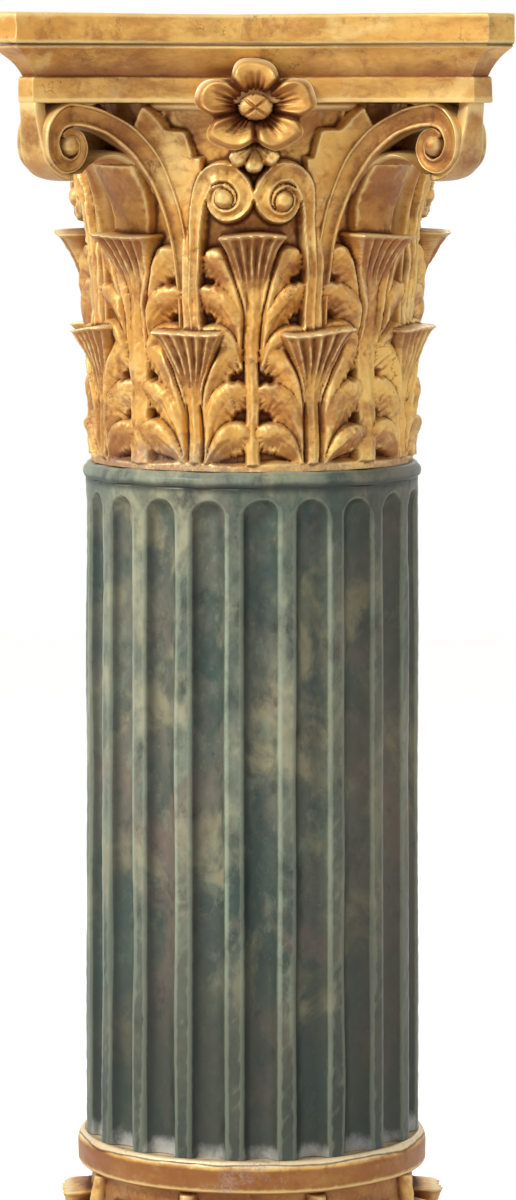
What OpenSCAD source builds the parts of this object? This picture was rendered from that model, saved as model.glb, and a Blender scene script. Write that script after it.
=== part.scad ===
// Carved and gilt Corinthian pedestal column with a painted, fluted shaft.
// Millimetres, +Z up. The origin is the centre of the underside and a face looks towards -Y.

/* [Overall] */
// Height from the underside of the plinth to the upper face of the top board
column_h = 1200; // [1050:5:1600]

/* [Plinth] */
// Side of the square plinth
plinth_w = 380; // [370:5:460]
// Height of the plinth
plinth_h = 64; // [30:1:120]
// Bevel along the upper edges of the plinth
plinth_bevel = 4; // [1:0.5:10]

/* [Base] */
// Height of the round moulding on the plinth
torus_h = 44; // [36:1:60]
// Diameter of the round moulding on the plinth
torus_d = 352; // [340:1:368]
// Height of the plain band between the round moulding and the leaves
band_h = 7; // [4:0.5:14]
// Reach of that band beyond the foot of the collar
band_out = 5; // [2:0.5:8]
// Height of the leaf collar up to the ring
collar_h = 112; // [95:1:150]
// Step of the collar's foot inside the edge of the ring
collar_foot_step = 2; // [0.5:0.5:6]
// Step of the collar's neck inside the edge of the ring
collar_neck_step = 14; // [8:0.5:20]
// Height of the collar leaves
collar_leaf_h = 88; // [70:1:94]
// Reach of the collar leaves' lips beyond the collar's surface
collar_lip_out = 25; // [15:0.5:30]
// Height of the upright face of the ring
ring_face_h = 14; // [8:0.5:24]
// Rise of the rounded ledge over that face
ring_ledge_h = 13; // [6:0.5:20]
// Width of the ledge around the foot of the shaft
ring_ledge_w = 7; // [4:0.5:14]

/* [Shaft] */
// Diameter of the shaft at its foot
shaft_foot_d = 286; // [270:1:320]
// Diameter of the shaft under its neck moulding
shaft_top_d = 281; // [262:1:300]
// Number of flutes
flute_count = 20; // [16:1:24]
// Width of a flute at the surface
flute_w = 30; // [20:0.5:32]
// Depth of a flute
flute_depth = 9.5; // [5:0.5:13]
// Turn of the flutes from the front
flute_turn = 3; // [0:0.5:9]
// Plain neck between the flute tops and the neck moulding
flute_gap = 9; // [4:0.5:20]
// Height of the neck moulding
neck_h = 13; // [8:0.5:20]
// Reach of the neck moulding beyond the shaft
neck_out = 2; // [1:0.25:6]

/* [Bell and leaves] */
// Height of the bell up to the underside of the lower fascia
bell_h = 300; // [280:1:340]
// Step of the bell's foot inside the top of the shaft
bell_step = 14.5; // [10:0.5:20]
// Flare of the bell from its foot to its rim
bell_flare = 24; // [14:0.5:34]
// Height of the lower row of leaves
lower_leaf_h = 115; // [95:1:130]
// Reach of the lower lips beyond the bell
lower_lip_out = 31; // [20:0.5:36]
// Height of the upper row of leaves
upper_leaf_h = 193; // [170:1:205]
// Height of the lobed part of an upper leaf
upper_blade_h = 106; // [80:1:125]
// Reach of the upper lips beyond the bell
upper_lip_out = 37; // [24:0.5:42]
// Half width of a leaf across its side lobes
leaf_half_w = 40; // [30:0.5:44]
// Half width of a leaf's lip
lip_half_w = 30; // [20:0.5:36]
// Thickness of a leaf at its foot
leaf_foot_out = 12; // [8:0.5:16]
// Half width of a leaf's stem
stem_half_w = 7; // [5:0.5:10]

/* [Scrolls] */
// Radius of a corner scroll at its crest
volute_r = 34; // [26:0.5:38]
// Thickness of a corner scroll across its two faces
volute_t = 36; // [26:1:44]
// Set-back of a corner scroll's edge from the corner of the top board
volute_setback = 24; // [18:0.5:40]
// Radius of an inner scroll at its crest
helix_r = 32; // [24:0.5:34]
// Height of an inner scroll's eye over the upper lips
helix_lift = 28; // [24:0.5:36]
// Distance of an inner scroll's eye from the middle of the face
helix_side = 25; // [20:0.5:30]
// Relief of the inner scrolls on the bell
helix_relief = 19; // [12:0.5:26]

/* [Abacus] */
// Overall width of the top board
abacus_w = 420; // [400:2:470]
// Width of a clipped corner, measured along the side that it shortens
corner_clip = 22; // [14:1:30]
// Depth of a side's hollow
side_hollow = 30; // [15:1:40]
// Height of the lower fascia
fascia_h = 21; // [14:0.5:30]
// Step of the lower fascia inside the board
fascia_in = 19; // [12:0.5:24]
// Height of the hollow moulding
cavetto_h = 26; // [18:0.5:36]
// Height of the top board
board_h = 26; // [18:0.5:40]

/* [Flower] */
// Diameter of the flower
flower_d = 92; // [76:1:110]
// Diameter of the flower's button
button_d = 25; // [18:0.5:32]
// Gap between the flower and the top board
flower_gap = 2; // [1:0.5:10]
// Reach of the petals beyond the lower fascia
flower_out = 18; // [12:0.5:26]

/* [Hidden] */

gold = "goldenrod";
green = "darkslategray";
// How far a carved piece is rooted below the surface that it grows on
root = 4;
// Thickness of a sheet that only gives a hull its outline
film = 0.01;

faces = 4;
face_turn = 360 / faces;
leaf_count = 8;
leaf_turn = 360 / leaf_count;

// Heights
ring_h = ring_face_h + ring_ledge_h;
collar_z = torus_h + band_h;
ring_z = collar_z + collar_h;
base_h = ring_z + ring_h;
capital_h = bell_h + fascia_h + cavetto_h;
base_z = plinth_h;
shaft_z = base_z + base_h;
shaft_h = column_h - shaft_z - capital_h - board_h;
capital_z = shaft_z + shaft_h;
board_z = capital_z + capital_h;

// Radii
shaft_foot_r = shaft_foot_d / 2;
shaft_top_r = shaft_top_d / 2;
ring_r = shaft_foot_r + ring_ledge_w;
bell_foot_r = shaft_top_r - bell_step;

// Plan of the abacus: each side is an arc, and each corner is clipped at 45 degrees
side_half = abacus_w / 2 - corner_clip;
side_r = (side_half * side_half + side_hollow * side_hollow) / (2 * side_hollow);
side_centre = abacus_w / 2 - side_hollow + side_r;
corner_rho = (abacus_w - corner_clip) / sqrt(2);
fascia_front = abacus_w / 2 - side_hollow - fascia_in;

// ---------- shared geometry ----------

// Value at t on a straight run from a to b
function mix(a, b, t) = a + (b - a) * t;

function unit(v) = v / norm(v);

function sum(list) = [for (v = list) 1] * list;

// Points of an arc in a profile
function arc(c, r, a0, a1, n) = [for (i = [0:n]) let (a = mix(a0, a1, i / n)) c + r * [cos(a), sin(a)]];

// Point at t on a cubic curve
function bezier(p, t) =
    pow(1 - t, 3) * p[0] + 3 * pow(1 - t, 2) * t * p[1] + 3 * (1 - t) * t * t * p[2] + pow(t, 3) * p[3];

// Direction of a line at one of its points
function along(line, i) = unit(line[min(i + 1, len(line) - 1)] - line[max(i - 1, 0)]);

// Point at radius r and height z, u millimetres round from the direction az at radius ref
function wrap(u, r, z, az, ref) =
    let (a = az + u / ref * 180 / PI) [r * sin(a), -r * cos(a), z];

// Six times the volume between a face and the origin
function face_volume(f, p) =
    sum([for (i = [1:len(f) - 2]) p[f[0]] * cross(p[f[i]], p[f[i + 1]])]);

// Solid through a list of rings that have the same number of points, or that run out in a
// tip. Its faces are turned to look outwards, whichever way round the rings run.
module loft(rings, tip = [], flat_ends = false) {
    n = len(rings[0]);
    last = (len(rings) - 1) * n;
    points = concat([for (r = rings) each r], tip);
    sides = [
        for (i = [0:n:last - n])
            for (j = [0:n - 1])
                let (k = (j + 1) % n)
                each [[i + j, i + n + j, i + n + k], [i + j, i + n + k, i + k]]
    ];
    low_end = flat_ends ? [[for (j = [0:n - 1]) j]] : [for (j = [1:n - 2]) [0, j, j + 1]];
    high_end = len(tip) > 0
        ? [for (j = [0:n - 1]) [last + (j + 1) % n, last + j, last + n]]
        : flat_ends
            ? [[for (j = [n - 1:-1:0]) last + j]]
            : [for (j = [1:n - 2]) [last, last + j + 1, last + j]];
    surface = concat(sides, low_end, high_end);
    outwards = sum([for (f = surface) face_volume(f, points)]) < 0;
    polyhedron(
        points = points,
        faces = outwards ? surface : [for (f = surface) [for (i = [len(f) - 1:-1:0]) f[i]]],
        convexity = 6
    );
}

// Outline of the abacus, set in by d, at height z
function side_angle(d) =
    45 + asin(((corner_rho - d) * sqrt(2) - side_centre) / ((side_r + d) * sqrt(2)));
function abacus_outline(d, z, n) = [
    for (k = [0:faces - 1])
        for (i = [-n:n])
            let (
                a = side_angle(d) * i / n,
                x = (side_r + d) * sin(a),
                y = (side_r + d) * cos(a) - side_centre,
                t = k * face_turn
            )
            [x * cos(t) - y * sin(t), x * sin(t) + y * cos(t), z]
];

// ---------- leaves ----------

// A leaf that grows up a round surface: a bare stem, then a stem that flares into a straight
// lip with ridged lobes on each side. surface lists [height, radius].
stem_steps = [0, 0.5, 0.82, 1];
flare_power = 4;
curl_power = 5;
lobe_root = [0.02, 0.22, 0.46];
lobe_tip = [0.36, 0.63, 0.89];
lobe_reach = [1, 0.98, 0.92];
lobe_steps = [0, 0.72];
lobe_half_w = [3.5, 10];
lobe_relief = [0.5, 1];
lobe_tip_relief = 0.3;
lobe_gap = 1;
lobe_bend = 1.4;
lobe_rise = 0.8;
lobe_probe = 0.1;

function stem_ring(z, f, az, ref, foot_out, lip_out, surface) =
    let (
        r = lookup(z, surface),
        w = mix(stem_half_w, lip_half_w, pow(f, flare_power)),
        out = mix(foot_out, lip_out, pow(f, curl_power))
    )
    [
        wrap(-w, r - root, z, az, ref),
        wrap(w, r - root, z, az, ref),
        wrap(w, r + out, z, az, ref),
        wrap(-w, r + out, z, az, ref)
    ];

function lobe_centre(t, side, k, z0, h) =
    let (
        near = stem_half_w + lobe_half_w[0] + lobe_gap,
        far = leaf_half_w * lobe_reach[k]
    )
    [
        side * mix(near, far, pow(t, lobe_bend)),
        z0 + h * mix(lobe_root[k], lobe_tip[k], pow(t, lobe_rise))
    ];

function lobe_ring(i, side, k, az, z0, h, ref, foot_out, surface) =
    let (
        t = lobe_steps[i],
        c = lobe_centre(t, side, k, z0, h),
        before = lobe_centre(max(t - lobe_probe, 0), side, k, z0, h),
        d = unit(lobe_centre(t + lobe_probe, side, k, z0, h) - before),
        r = lookup(c[1], surface),
        right = c + lobe_half_w[i] * [d[1], -d[0]],
        left = c - lobe_half_w[i] * [d[1], -d[0]]
    )
    [
        wrap(left[0], r - root, left[1], az, ref),
        wrap(right[0], r - root, right[1], az, ref),
        wrap(c[0], r + foot_out * lobe_relief[i], c[1], az, ref)
    ];

module leaf(az, foot_z, leaf_z, h, foot_out, lip_out, surface, lobes) {
    ref = lookup(leaf_z, surface) + foot_out;
    bare = leaf_z > foot_z ? [stem_ring(foot_z, 0, az, ref, foot_out, lip_out, surface)] : [];
    blade = [for (f = stem_steps) stem_ring(leaf_z + f * h, f, az, ref, foot_out, lip_out, surface)];
    loft(concat(bare, blade));
    for (side = [-1, 1])
        for (k = lobes) {
            end = lobe_centre(1, side, k, leaf_z, h);
            end_r = lookup(end[1], surface) + foot_out * lobe_tip_relief;
            loft([
                for (i = [0:len(lobe_steps) - 1])
                    lobe_ring(i, side, k, az, leaf_z, h, ref, foot_out, surface)
            ], tip = [wrap(end[0], end_r, end[1], az, ref)]);
        }
}

// ---------- capital ----------

// The bell widens slowly and then flares under the abacus
bell_power = 3;
bell_steps = 3;
bell_sides = 32;
foot_band_h = 8;
foot_band_out = 9;
foot_band_edge = 0.6;
function bell_r(z) = bell_foot_r + bell_flare * pow(max(z, 0) / bell_h, bell_power);
bell_surface = [for (i = [0:bell_steps]) let (z = bell_h * i / bell_steps) [z, bell_r(z)]];

module bell() {
    band_r = bell_foot_r + foot_band_out;
    profile = concat(
        [[0, 0], [band_r, 0], [band_r, foot_band_h * foot_band_edge], [bell_foot_r, foot_band_h]],
        [for (i = [1:bell_steps]) [bell_surface[i][1], bell_surface[i][0]]],
        [[0, bell_h]]
    );
    rotate_extrude($fn = bell_sides) polygon(profile);
}

// Lower fascia and hollow moulding under the top board
arc_points = 3;
cavetto_steps = 4;
cavetto_depth = 2.5;
cavetto_lip = 1.5;
fascia_lap = 1;
module abacus_mouldings() {
    foot_in = fascia_in + cavetto_depth;
    fascia_top = bell_h + fascia_h;
    levels = concat(
        [[fascia_in, bell_h - fascia_lap], [fascia_in, fascia_top], [foot_in, fascia_top + cavetto_lip]],
        [
            for (i = [1:cavetto_steps])
                let (a = 90 * i / cavetto_steps)
                [
                    mix(foot_in, cavetto_lip, 1 - cos(a)),
                    fascia_top + mix(cavetto_lip, cavetto_h, sin(a))
                ]
        ]
    );
    loft([for (l = levels) abacus_outline(l[0], l[1], arc_points)], flat_ends = true);
}

// Scrolls: a band's outer edge shrinks by the same share in each quarter turn
scroll_decay = 0.22;
scroll_band = 0.53;
scroll_quarters = 4;
scroll_step = 45;
scroll_turns = [0:scroll_step:90 * scroll_quarters];
stalk_foot_lap = 12;
stalk_foot_z = lower_leaf_h - stalk_foot_lap;
stalk_turn = leaf_turn / 2;
stalk_split = 2;
stalk_half = 6;
function scroll_edge(r, a) = r * exp(-scroll_decay * a / 90);
function scroll_middle(r, a) = scroll_edge(r, a) * (1 - scroll_band / 2);
function scroll_half(r, a) = scroll_edge(r, a) * scroll_band / 2;

// Domed eye in the middle of a scroll
eye_share = 0.28;
eye_out = 5;
module scroll_eye(r, h) {
    hull() {
        cylinder(h = h - r / 2, r = r, $fn = 8);
        cylinder(h = h, r = r / 2, $fn = 8);
    }
}

// Corner scroll, in the corner's own axes: along the diagonal, across it, and height.
// Its band rises off the bell and turns into the plane of the diagonal.
volute_eye_rho = corner_rho - volute_setback - scroll_edge(volute_r, 90);
volute_eye_z = bell_h - volute_r;
volute_crest_z = volute_eye_z + scroll_middle(volute_r, 0);
volute_face = volute_t / 2;
volute_rise_steps = [0, 0.4, 0.75];
volute_lean = 4;
volute_upright = 57;
volute_sweep = 0.45;
volute_close = 0.6;
function volute_rise(t) =
    let (
        foot = bell_foot_r + leaf_foot_out,
        a = stalk_turn - stalk_split,
        rho = foot * cos(a),
        across = foot * sin(a)
    )
    bezier([
        [rho, across, stalk_foot_z],
        [rho - volute_lean, across, bell_h - volute_upright],
        [mix(rho, volute_eye_rho, volute_sweep), mix(across, volute_face, volute_close), volute_crest_z],
        [volute_eye_rho, volute_face, volute_crest_z]
    ], t);
function volute_turn(a) =
    let (r = scroll_middle(volute_r, a))
    [volute_eye_rho + r * sin(a), volute_face, volute_eye_z + r * cos(a)];
volute_line = concat([for (t = volute_rise_steps) volute_rise(t)], [for (a = scroll_turns) volute_turn(a)]);
volute_half = concat(
    [for (t = volute_rise_steps) mix(stalk_half, scroll_half(volute_r, 0), min(1, 2 * t))],
    [for (a = scroll_turns) scroll_half(volute_r, a)]
);
volute_depth = concat(
    [for (t = volute_rise_steps) mix(leaf_foot_out, volute_face, t)],
    [for (a = scroll_turns) volute_face]
);

function volute_ring(i) =
    let (
        p = volute_line[i],
        a = i < len(volute_rise_steps) ? mix(stalk_turn, 90, volute_rise_steps[i]) : 90,
        front = [cos(a), sin(a), 0],
        wide = unit(cross(along(volute_line, i), front)) * volute_half[i],
        back = p - front * volute_depth[i]
    )
    [back - wide, back + wide, p + wide, p - wide];

// The corner's own axes laid out on the column
function at_corner(p) = [(p[1] + p[0]) * sin(45), (p[1] - p[0]) * sin(45), p[2]];

module corner_scroll() {
    loft([for (i = [0:len(volute_line) - 1]) [for (q = volute_ring(i)) at_corner(q)]]);
    translate(at_corner([volute_eye_rho, volute_face - root, volute_eye_z])) rotate([0, 90, 45])
        scroll_eye(volute_r * eye_share, root + eye_out);
}

// Inner scroll: its line is drawn as [round the bell, height]
helix_eye_z = upper_leaf_h + helix_lift;
helix_crest_z = helix_eye_z + scroll_middle(helix_r, 0);
helix_face_r = bell_foot_r + helix_relief + root;
helix_rise_steps = [0, 0.55, 0.8];
helix_bow = 2;
helix_upright = 20;
function helix_rise(t) =
    let (start = helix_face_r * (stalk_turn - stalk_split) * PI / 180)
    bezier([
        [start, stalk_foot_z],
        [start + helix_bow, upper_leaf_h + helix_upright],
        [start - helix_bow, helix_crest_z],
        [helix_side, helix_crest_z]
    ], t);
function helix_turn(a) =
    let (r = scroll_middle(helix_r, a)) [helix_side - r * sin(a), helix_eye_z + r * cos(a)];
helix_line = concat([for (t = helix_rise_steps) helix_rise(t)], [for (a = scroll_turns) helix_turn(a)]);
helix_half = concat(
    [for (t = helix_rise_steps) mix(stalk_half, scroll_half(helix_r, 0), min(1, 2 * t))],
    [for (a = scroll_turns) scroll_half(helix_r, a)]
);

function helix_ring(i) =
    let (
        d = along(helix_line, i),
        wide = helix_half[i] * [-d[1], d[0]],
        left = helix_line[i] + wide,
        right = helix_line[i] - wide,
        back = bell_foot_r - root
    )
    [
        wrap(left[0], back, left[1], 0, helix_face_r),
        wrap(right[0], back, right[1], 0, helix_face_r),
        wrap(right[0], helix_face_r, right[1], 0, helix_face_r),
        wrap(left[0], helix_face_r, left[1], 0, helix_face_r)
    ];

module helix() {
    loft([for (i = [0:len(helix_line) - 1]) helix_ring(i)]);
    rotate([0, 0, helix_side / helix_face_r * 180 / PI])
        translate([0, -bell_foot_r, helix_eye_z])
            rotate([90, 0, 0]) scroll_eye(helix_r * eye_share, helix_relief + root + eye_out);
}

// Leaf that carries a corner scroll and curls out under it. Its line is [out, height].
support_half_w = 27;
support_edge = 0.6;
support_line = [
    [bell_foot_r + 12, upper_leaf_h - 40],
    [bell_foot_r + 24, upper_leaf_h + 22],
    [bell_foot_r + 36, upper_leaf_h + 46],
    [bell_foot_r + 62, upper_leaf_h + 58],
    [volute_eye_rho - 12, upper_leaf_h + 50]
];
support_w = [1, 1, 1, 1, 0.75];
support_t = [16, 15, 13, 11, 5];
function support_ring(i) =
    let (
        d = along(support_line, i),
        p = support_line[i],
        q = p - support_t[i] * [d[1], -d[0]],
        w = support_half_w * support_w[i]
    )
    [
        at_corner([q[0], w * support_edge, q[1]]),
        at_corner([p[0], w, p[1]]),
        at_corner([p[0], -w, p[1]]),
        at_corner([q[0], -w * support_edge, q[1]])
    ];
module support_leaf() {
    loft([for (i = [0:len(support_line) - 1]) support_ring(i)]);
}

// Plate between an inner scroll and a corner scroll, stepped towards the flower
web_out = 6;
web_w = 43;
web_foot = 30;
web_step_w = 12;
web_step_h = 15;
web_corner_out = 26;
module web() {
    inner = stalk_turn * PI / 180 * helix_face_r - web_step_w;
    outer = inner + web_w;
    outline = [
        [inner + web_step_w, upper_leaf_h + web_foot],
        [inner, bell_h - 2 * web_step_h],
        [inner, bell_h - web_step_h],
        [inner + web_step_w, bell_h - web_step_h],
        [inner + web_step_w, bell_h],
        [outer, bell_h],
        [outer, bell_h - 2 * web_step_h]
    ];
    front = [
        for (p = outline)
            let (out = web_out + web_corner_out * (p[0] - inner) / web_w)
            wrap(p[0], bell_r(p[1]) + out, p[1], 0, helix_face_r)
    ];
    back = [for (p = outline) wrap(p[0], bell_r(p[1]) - root, p[1], 0, helix_face_r)];
    loft([back, front]);
}

// Flower on the middle of a face, with the small leaf under it
petals = 5;
petal_points = 4;
petal_dip = 0.36;
petal_power = 3;
petal_levels = [[-0.33, 0.75], [0.35, 1], [1, 0.86]];
flower_neck = 0.2;
button_rise = 1.3;
button_top = 0.6;
calyx_share = 0.22;
calyx_top = 0.6;
function petal_edge(a) = 1 - petal_dip * pow(abs(sin((a - 90) * petals / 2)), petal_power);
module flower() {
    z = capital_h - flower_gap - flower_d / 2;
    turns = petals * petal_points;
    calyx_r = flower_d * calyx_share;
    loft([
        for (l = petal_levels)
            [
                for (i = [0:turns - 1])
                    let (
                        a = i * 360 / turns,
                        r = flower_d / 2 * l[1] * petal_edge(a)
                    )
                    [r * cos(a), -fascia_front - flower_out * l[0], z + r * sin(a)]
            ]
    ], flat_ends = true);
    translate([0, -fascia_front, z]) rotate([90, 0, 0])
        cylinder(h = flower_out * button_rise, r1 = button_d / 2, r2 = button_d / 2 * button_top, $fn = 8);
    translate([0, -bell_foot_r, z]) rotate([90, 0, 0])
        cylinder(h = fascia_front - bell_foot_r, r = flower_d * flower_neck, $fn = 8);
    translate([0, -bell_foot_r, z - flower_d / 2 - calyx_r / 2]) rotate([90, 0, 0])
        cylinder(h = helix_relief, r1 = calyx_r, r2 = calyx_r * calyx_top, $fn = 6);
}

module capital() {
    leaf_foot_z = foot_band_h / 2;
    color(gold) translate([0, 0, capital_z]) {
        bell();
        abacus_mouldings();
        for (k = [0:leaf_count - 1]) {
            leaf((k + 0.5) * leaf_turn, leaf_foot_z, leaf_foot_z, lower_leaf_h - leaf_foot_z,
                leaf_foot_out, lower_lip_out, bell_surface, [0, 1, 2]);
            leaf(k * leaf_turn, leaf_foot_z, upper_leaf_h - upper_blade_h, upper_blade_h,
                leaf_foot_out, upper_lip_out, bell_surface, [1, 2]);
        }
        for (k = [0:faces - 1])
            rotate([0, 0, k * face_turn]) {
                flower();
                support_leaf();
                for (side = [0, 1])
                    mirror([side, 0, 0]) {
                        helix();
                        web();
                        corner_scroll();
                    }
            }
    }
}

// ---------- the other pieces ----------

module top_board() {
    overrun = 1;
    color(gold) translate([0, 0, board_z])
        difference() {
            linear_extrude(board_h) rotate(45) square(2 * corner_rho, center = true);
            for (k = [0:faces - 1])
                rotate([0, 0, k * face_turn]) translate([0, -side_centre, -overrun])
                    cylinder(h = board_h + 2 * overrun, r = side_r, $fn = 200);
        }
}

// Round-ended cutter for one flute, which follows the shaft's taper
flute_r = (flute_w * flute_w / 4 + flute_depth * flute_depth) / (2 * flute_depth);
flute_top_z = shaft_h - neck_h - flute_gap;
flute_end_steps = 8;
flute_overrun = 5;
taper = atan((shaft_foot_r - shaft_top_r) / shaft_h);
module flute() {
    straight = flute_top_z - flute_w / 2;
    profile = concat(
        [[0, -flute_overrun], [flute_r, -flute_overrun]],
        arc([0, straight], flute_r, 0, 90, flute_end_steps)
    );
    translate([0, flute_depth - flute_r - shaft_foot_r, 0]) rotate([-taper, 0, 0])
        rotate_extrude($fn = 48) polygon(profile);
}

// Neck moulding: a half round whose upper edge slopes back to the capital
neck_fillet = 1;
neck_bulge = 50;
neck_slope = 3;
neck_steps = 4;
module shaft() {
    neck_r = shaft_top_r + neck_out;
    round_r = neck_h / 4;
    profile = concat(
        [[0, 0], [shaft_foot_r, 0], [shaft_top_r, shaft_h - neck_h]],
        [[shaft_top_r + neck_out / 4, shaft_h - neck_h + neck_fillet]],
        arc([neck_r - round_r, shaft_h - neck_h / 2], round_r, -neck_bulge, neck_bulge, neck_steps),
        [[shaft_top_r - neck_fillet, shaft_h - neck_fillet]],
        [[shaft_top_r - neck_slope, shaft_h], [0, shaft_h]]
    );
    color(green) translate([0, 0, shaft_z])
        difference() {
            rotate_extrude($fn = 160) polygon(profile);
            for (k = [0:flute_count - 1])
                rotate([0, 0, flute_turn + k * 360 / flute_count]) flute();
        }
}

// Round moulding, leaf collar, and the ring with the rounded ledge that the shaft stands on
collar_foot_r = ring_r - collar_foot_step;
collar_neck_r = ring_r - collar_neck_step;
collar_surface = [[collar_z, collar_foot_r], [ring_z, collar_neck_r]];
torus_bulge = 75;
torus_steps = 5;
ring_edge = 1;
ledge_steps = 3;
ledge_start = 30;
module base() {
    torus_r = torus_h / 2;
    ledge_z = ring_z + ring_face_h;
    seat_r = shaft_foot_r + ring_edge;
    profile = concat(
        [[0, 0], [torus_d / 2 - torus_r, 0]],
        arc([torus_d / 2 - torus_r, torus_r], torus_r, -torus_bulge, torus_bulge, torus_steps),
        [[collar_foot_r + band_out, torus_h], [collar_foot_r + band_out, collar_z]],
        [[collar_foot_r, collar_z], [collar_neck_r, ring_z]],
        [[ring_r - ring_edge, ring_z], [ring_r, ring_z + ring_edge], [ring_r, ledge_z]],
        [
            for (i = [0:ledge_steps - 1])
                let (a = mix(ledge_start, 90, i / (ledge_steps - 1)))
                [mix(seat_r, ring_r, cos(a)), mix(ledge_z, base_h, sin(a))]
        ],
        [[0, base_h]]
    );
    color(gold) translate([0, 0, base_z]) {
        rotate_extrude($fn = 56) polygon(profile);
        for (k = [0:leaf_count - 1])
            leaf(k * leaf_turn, collar_z, collar_z, collar_leaf_h, leaf_foot_out, collar_lip_out,
                collar_surface, [0, 2]);
    }
}

module plinth() {
    color(gold)
        hull() {
            linear_extrude(plinth_h - plinth_bevel) square(plinth_w, center = true);
            translate([0, 0, plinth_h - film])
                linear_extrude(film) square(plinth_w - 2 * plinth_bevel, center = true);
        }
}

top_board();
capital();
shaft();
base();
plinth();
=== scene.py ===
"""Looks of a carved and gilt Corinthian pedestal column with a painted, fluted shaft."""

import math

import bpy
import numpy as np
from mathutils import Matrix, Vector
from mathutils.bvhtree import BVHTree


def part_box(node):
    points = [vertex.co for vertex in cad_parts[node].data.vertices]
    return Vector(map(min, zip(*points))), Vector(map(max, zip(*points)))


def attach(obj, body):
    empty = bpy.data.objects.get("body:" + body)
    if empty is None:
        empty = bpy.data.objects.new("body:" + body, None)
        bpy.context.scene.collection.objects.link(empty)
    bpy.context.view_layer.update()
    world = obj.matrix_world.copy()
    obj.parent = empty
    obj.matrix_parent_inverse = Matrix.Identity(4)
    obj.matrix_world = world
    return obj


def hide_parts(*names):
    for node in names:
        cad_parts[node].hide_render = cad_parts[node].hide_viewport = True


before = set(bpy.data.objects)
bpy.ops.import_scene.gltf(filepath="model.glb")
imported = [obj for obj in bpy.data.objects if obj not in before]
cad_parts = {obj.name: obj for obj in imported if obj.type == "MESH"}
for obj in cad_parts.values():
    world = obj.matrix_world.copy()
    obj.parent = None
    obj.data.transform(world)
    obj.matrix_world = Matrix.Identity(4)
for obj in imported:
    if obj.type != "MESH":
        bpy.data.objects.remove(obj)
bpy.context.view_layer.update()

MM = 1000.0
TURN = 2 * math.pi


# ---------------------------------------------------------------- sizes, in millimetres


def span(node):
    low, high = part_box(node)
    return np.array(low) * MM, np.array(high) * MM


BOARD = span("top_board")
CAPITAL = span("capital")
SHAFT = span("shaft")
BASE = span("base")
PLINTH = span("plinth")

CAP_Z = CAPITAL[0][2]
CAP_H = CAPITAL[1][2] - CAP_Z
BOARD_Z, TOP_Z = BOARD[0][2], BOARD[1][2]
SHAFT_Z, SHAFT_TOP = SHAFT[0][2], SHAFT[1][2]
BASE_Z, BASE_TOP = BASE[0][2], BASE[1][2]
PLINTH_W = PLINTH[1][0] - PLINTH[0][0]

ABACUS_W = BOARD[1][0] - BOARD[0][0]
CORNER_CLIP = 22.0
SIDE_HOLLOW = 30.0
FASCIA_H, FASCIA_IN = 21.0, 19.0
CAVETTO_H = 26.0
BELL_H = CAP_H - FASCIA_H - CAVETTO_H
SHAFT_FOOT_R = SHAFT[1][0]
SHAFT_TOP_R = 140.5
BELL_FOOT_R = SHAFT_TOP_R - 14.5
BELL_FLARE = 24.0
RING_R = SHAFT_FOOT_R + 7
REF_R = 150.0

LOWER_H, UPPER_H, BLADE_H = 115.0, 193.0, 106.0
LOWER_Z, BLADE_Z = 4.0, UPPER_H - BLADE_H
LOWER_OUT, UPPER_OUT = 31.0, 37.0
LOWER_LIP, UPPER_LIP = 33.0, 31.0
STALK_U = REF_R * math.pi / 8
LEAF_PITCH = REF_R * math.pi / 4

SIDE_HALF = ABACUS_W / 2 - CORNER_CLIP
SIDE_R = (SIDE_HALF**2 + SIDE_HOLLOW**2) / (2 * SIDE_HOLLOW)
SIDE_CENTRE = ABACUS_W / 2 - SIDE_HOLLOW + SIDE_R
CORNER_RHO = (ABACUS_W - CORNER_CLIP) / math.sqrt(2)
FASCIA_FRONT = ABACUS_W / 2 - SIDE_HOLLOW - FASCIA_IN


# ---------------------------------------------------------------- shared maths


def smooth(x):
    x = np.clip(x, 0.0, 1.0)
    return x * x * (3 - 2 * x)


def hump(x, width):
    return np.exp(-((x / width) ** 2))


def mix(a, b, t):
    return a + (b - a) * t


def bezier(points, n):
    t = np.linspace(0, 1, n)[:, None]
    p = [np.asarray(q, float) for q in points]
    if len(p) == 3:
        return (1 - t) ** 2 * p[0] + 2 * (1 - t) * t * p[1] + t * t * p[2]
    return (1 - t) ** 3 * p[0] + 3 * (1 - t) ** 2 * t * p[1] + 3 * (1 - t) * t * t * p[2] + t**3 * p[3]


class Waves:
    """Smooth unevenness of a hand-made surface: sine waves that close round the column."""

    def __init__(self, seed, count, around, shortest):
        rng = np.random.default_rng(seed)
        self.turns = rng.integers(-around, around + 1, count)
        self.rises = rng.uniform(-1, 1, count) * TURN / shortest
        self.phases = rng.uniform(0, TURN, count)

    def __call__(self, theta, z):
        total = np.zeros(np.broadcast(theta, z).shape)
        for turn, rise, phase in zip(self.turns, self.rises, self.phases):
            total += np.sin(turn * theta + rise * z + phase)
        return total / math.sqrt(len(self.turns) / 2)


def mesh_normals(v, f):
    """Smooth normals of a mesh of quads."""
    n = np.zeros_like(v)
    normal = np.cross(v[f[:, 2]] - v[f[:, 0]], v[f[:, 3]] - v[f[:, 1]])
    for c in range(3):
        for k in range(4):
            n[:, c] += np.bincount(f[:, k], normal[:, c], len(v))
    return n / np.maximum(np.linalg.norm(n, axis=1), 1e-9)[:, None]


def neighbour_mean(f, count):
    """A function that gives each vertex the mean of the values of its neighbours."""
    a, b = f.ravel(), np.roll(f, -1, axis=1).ravel()
    near = np.maximum(np.bincount(a, minlength=count) + np.bincount(b, minlength=count), 1)

    def mean(values):
        totals = [np.bincount(a, x[b], count) + np.bincount(b, x[a], count) for x in values.T]
        return np.stack(totals, -1) / near[:, None]

    return mean


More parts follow.
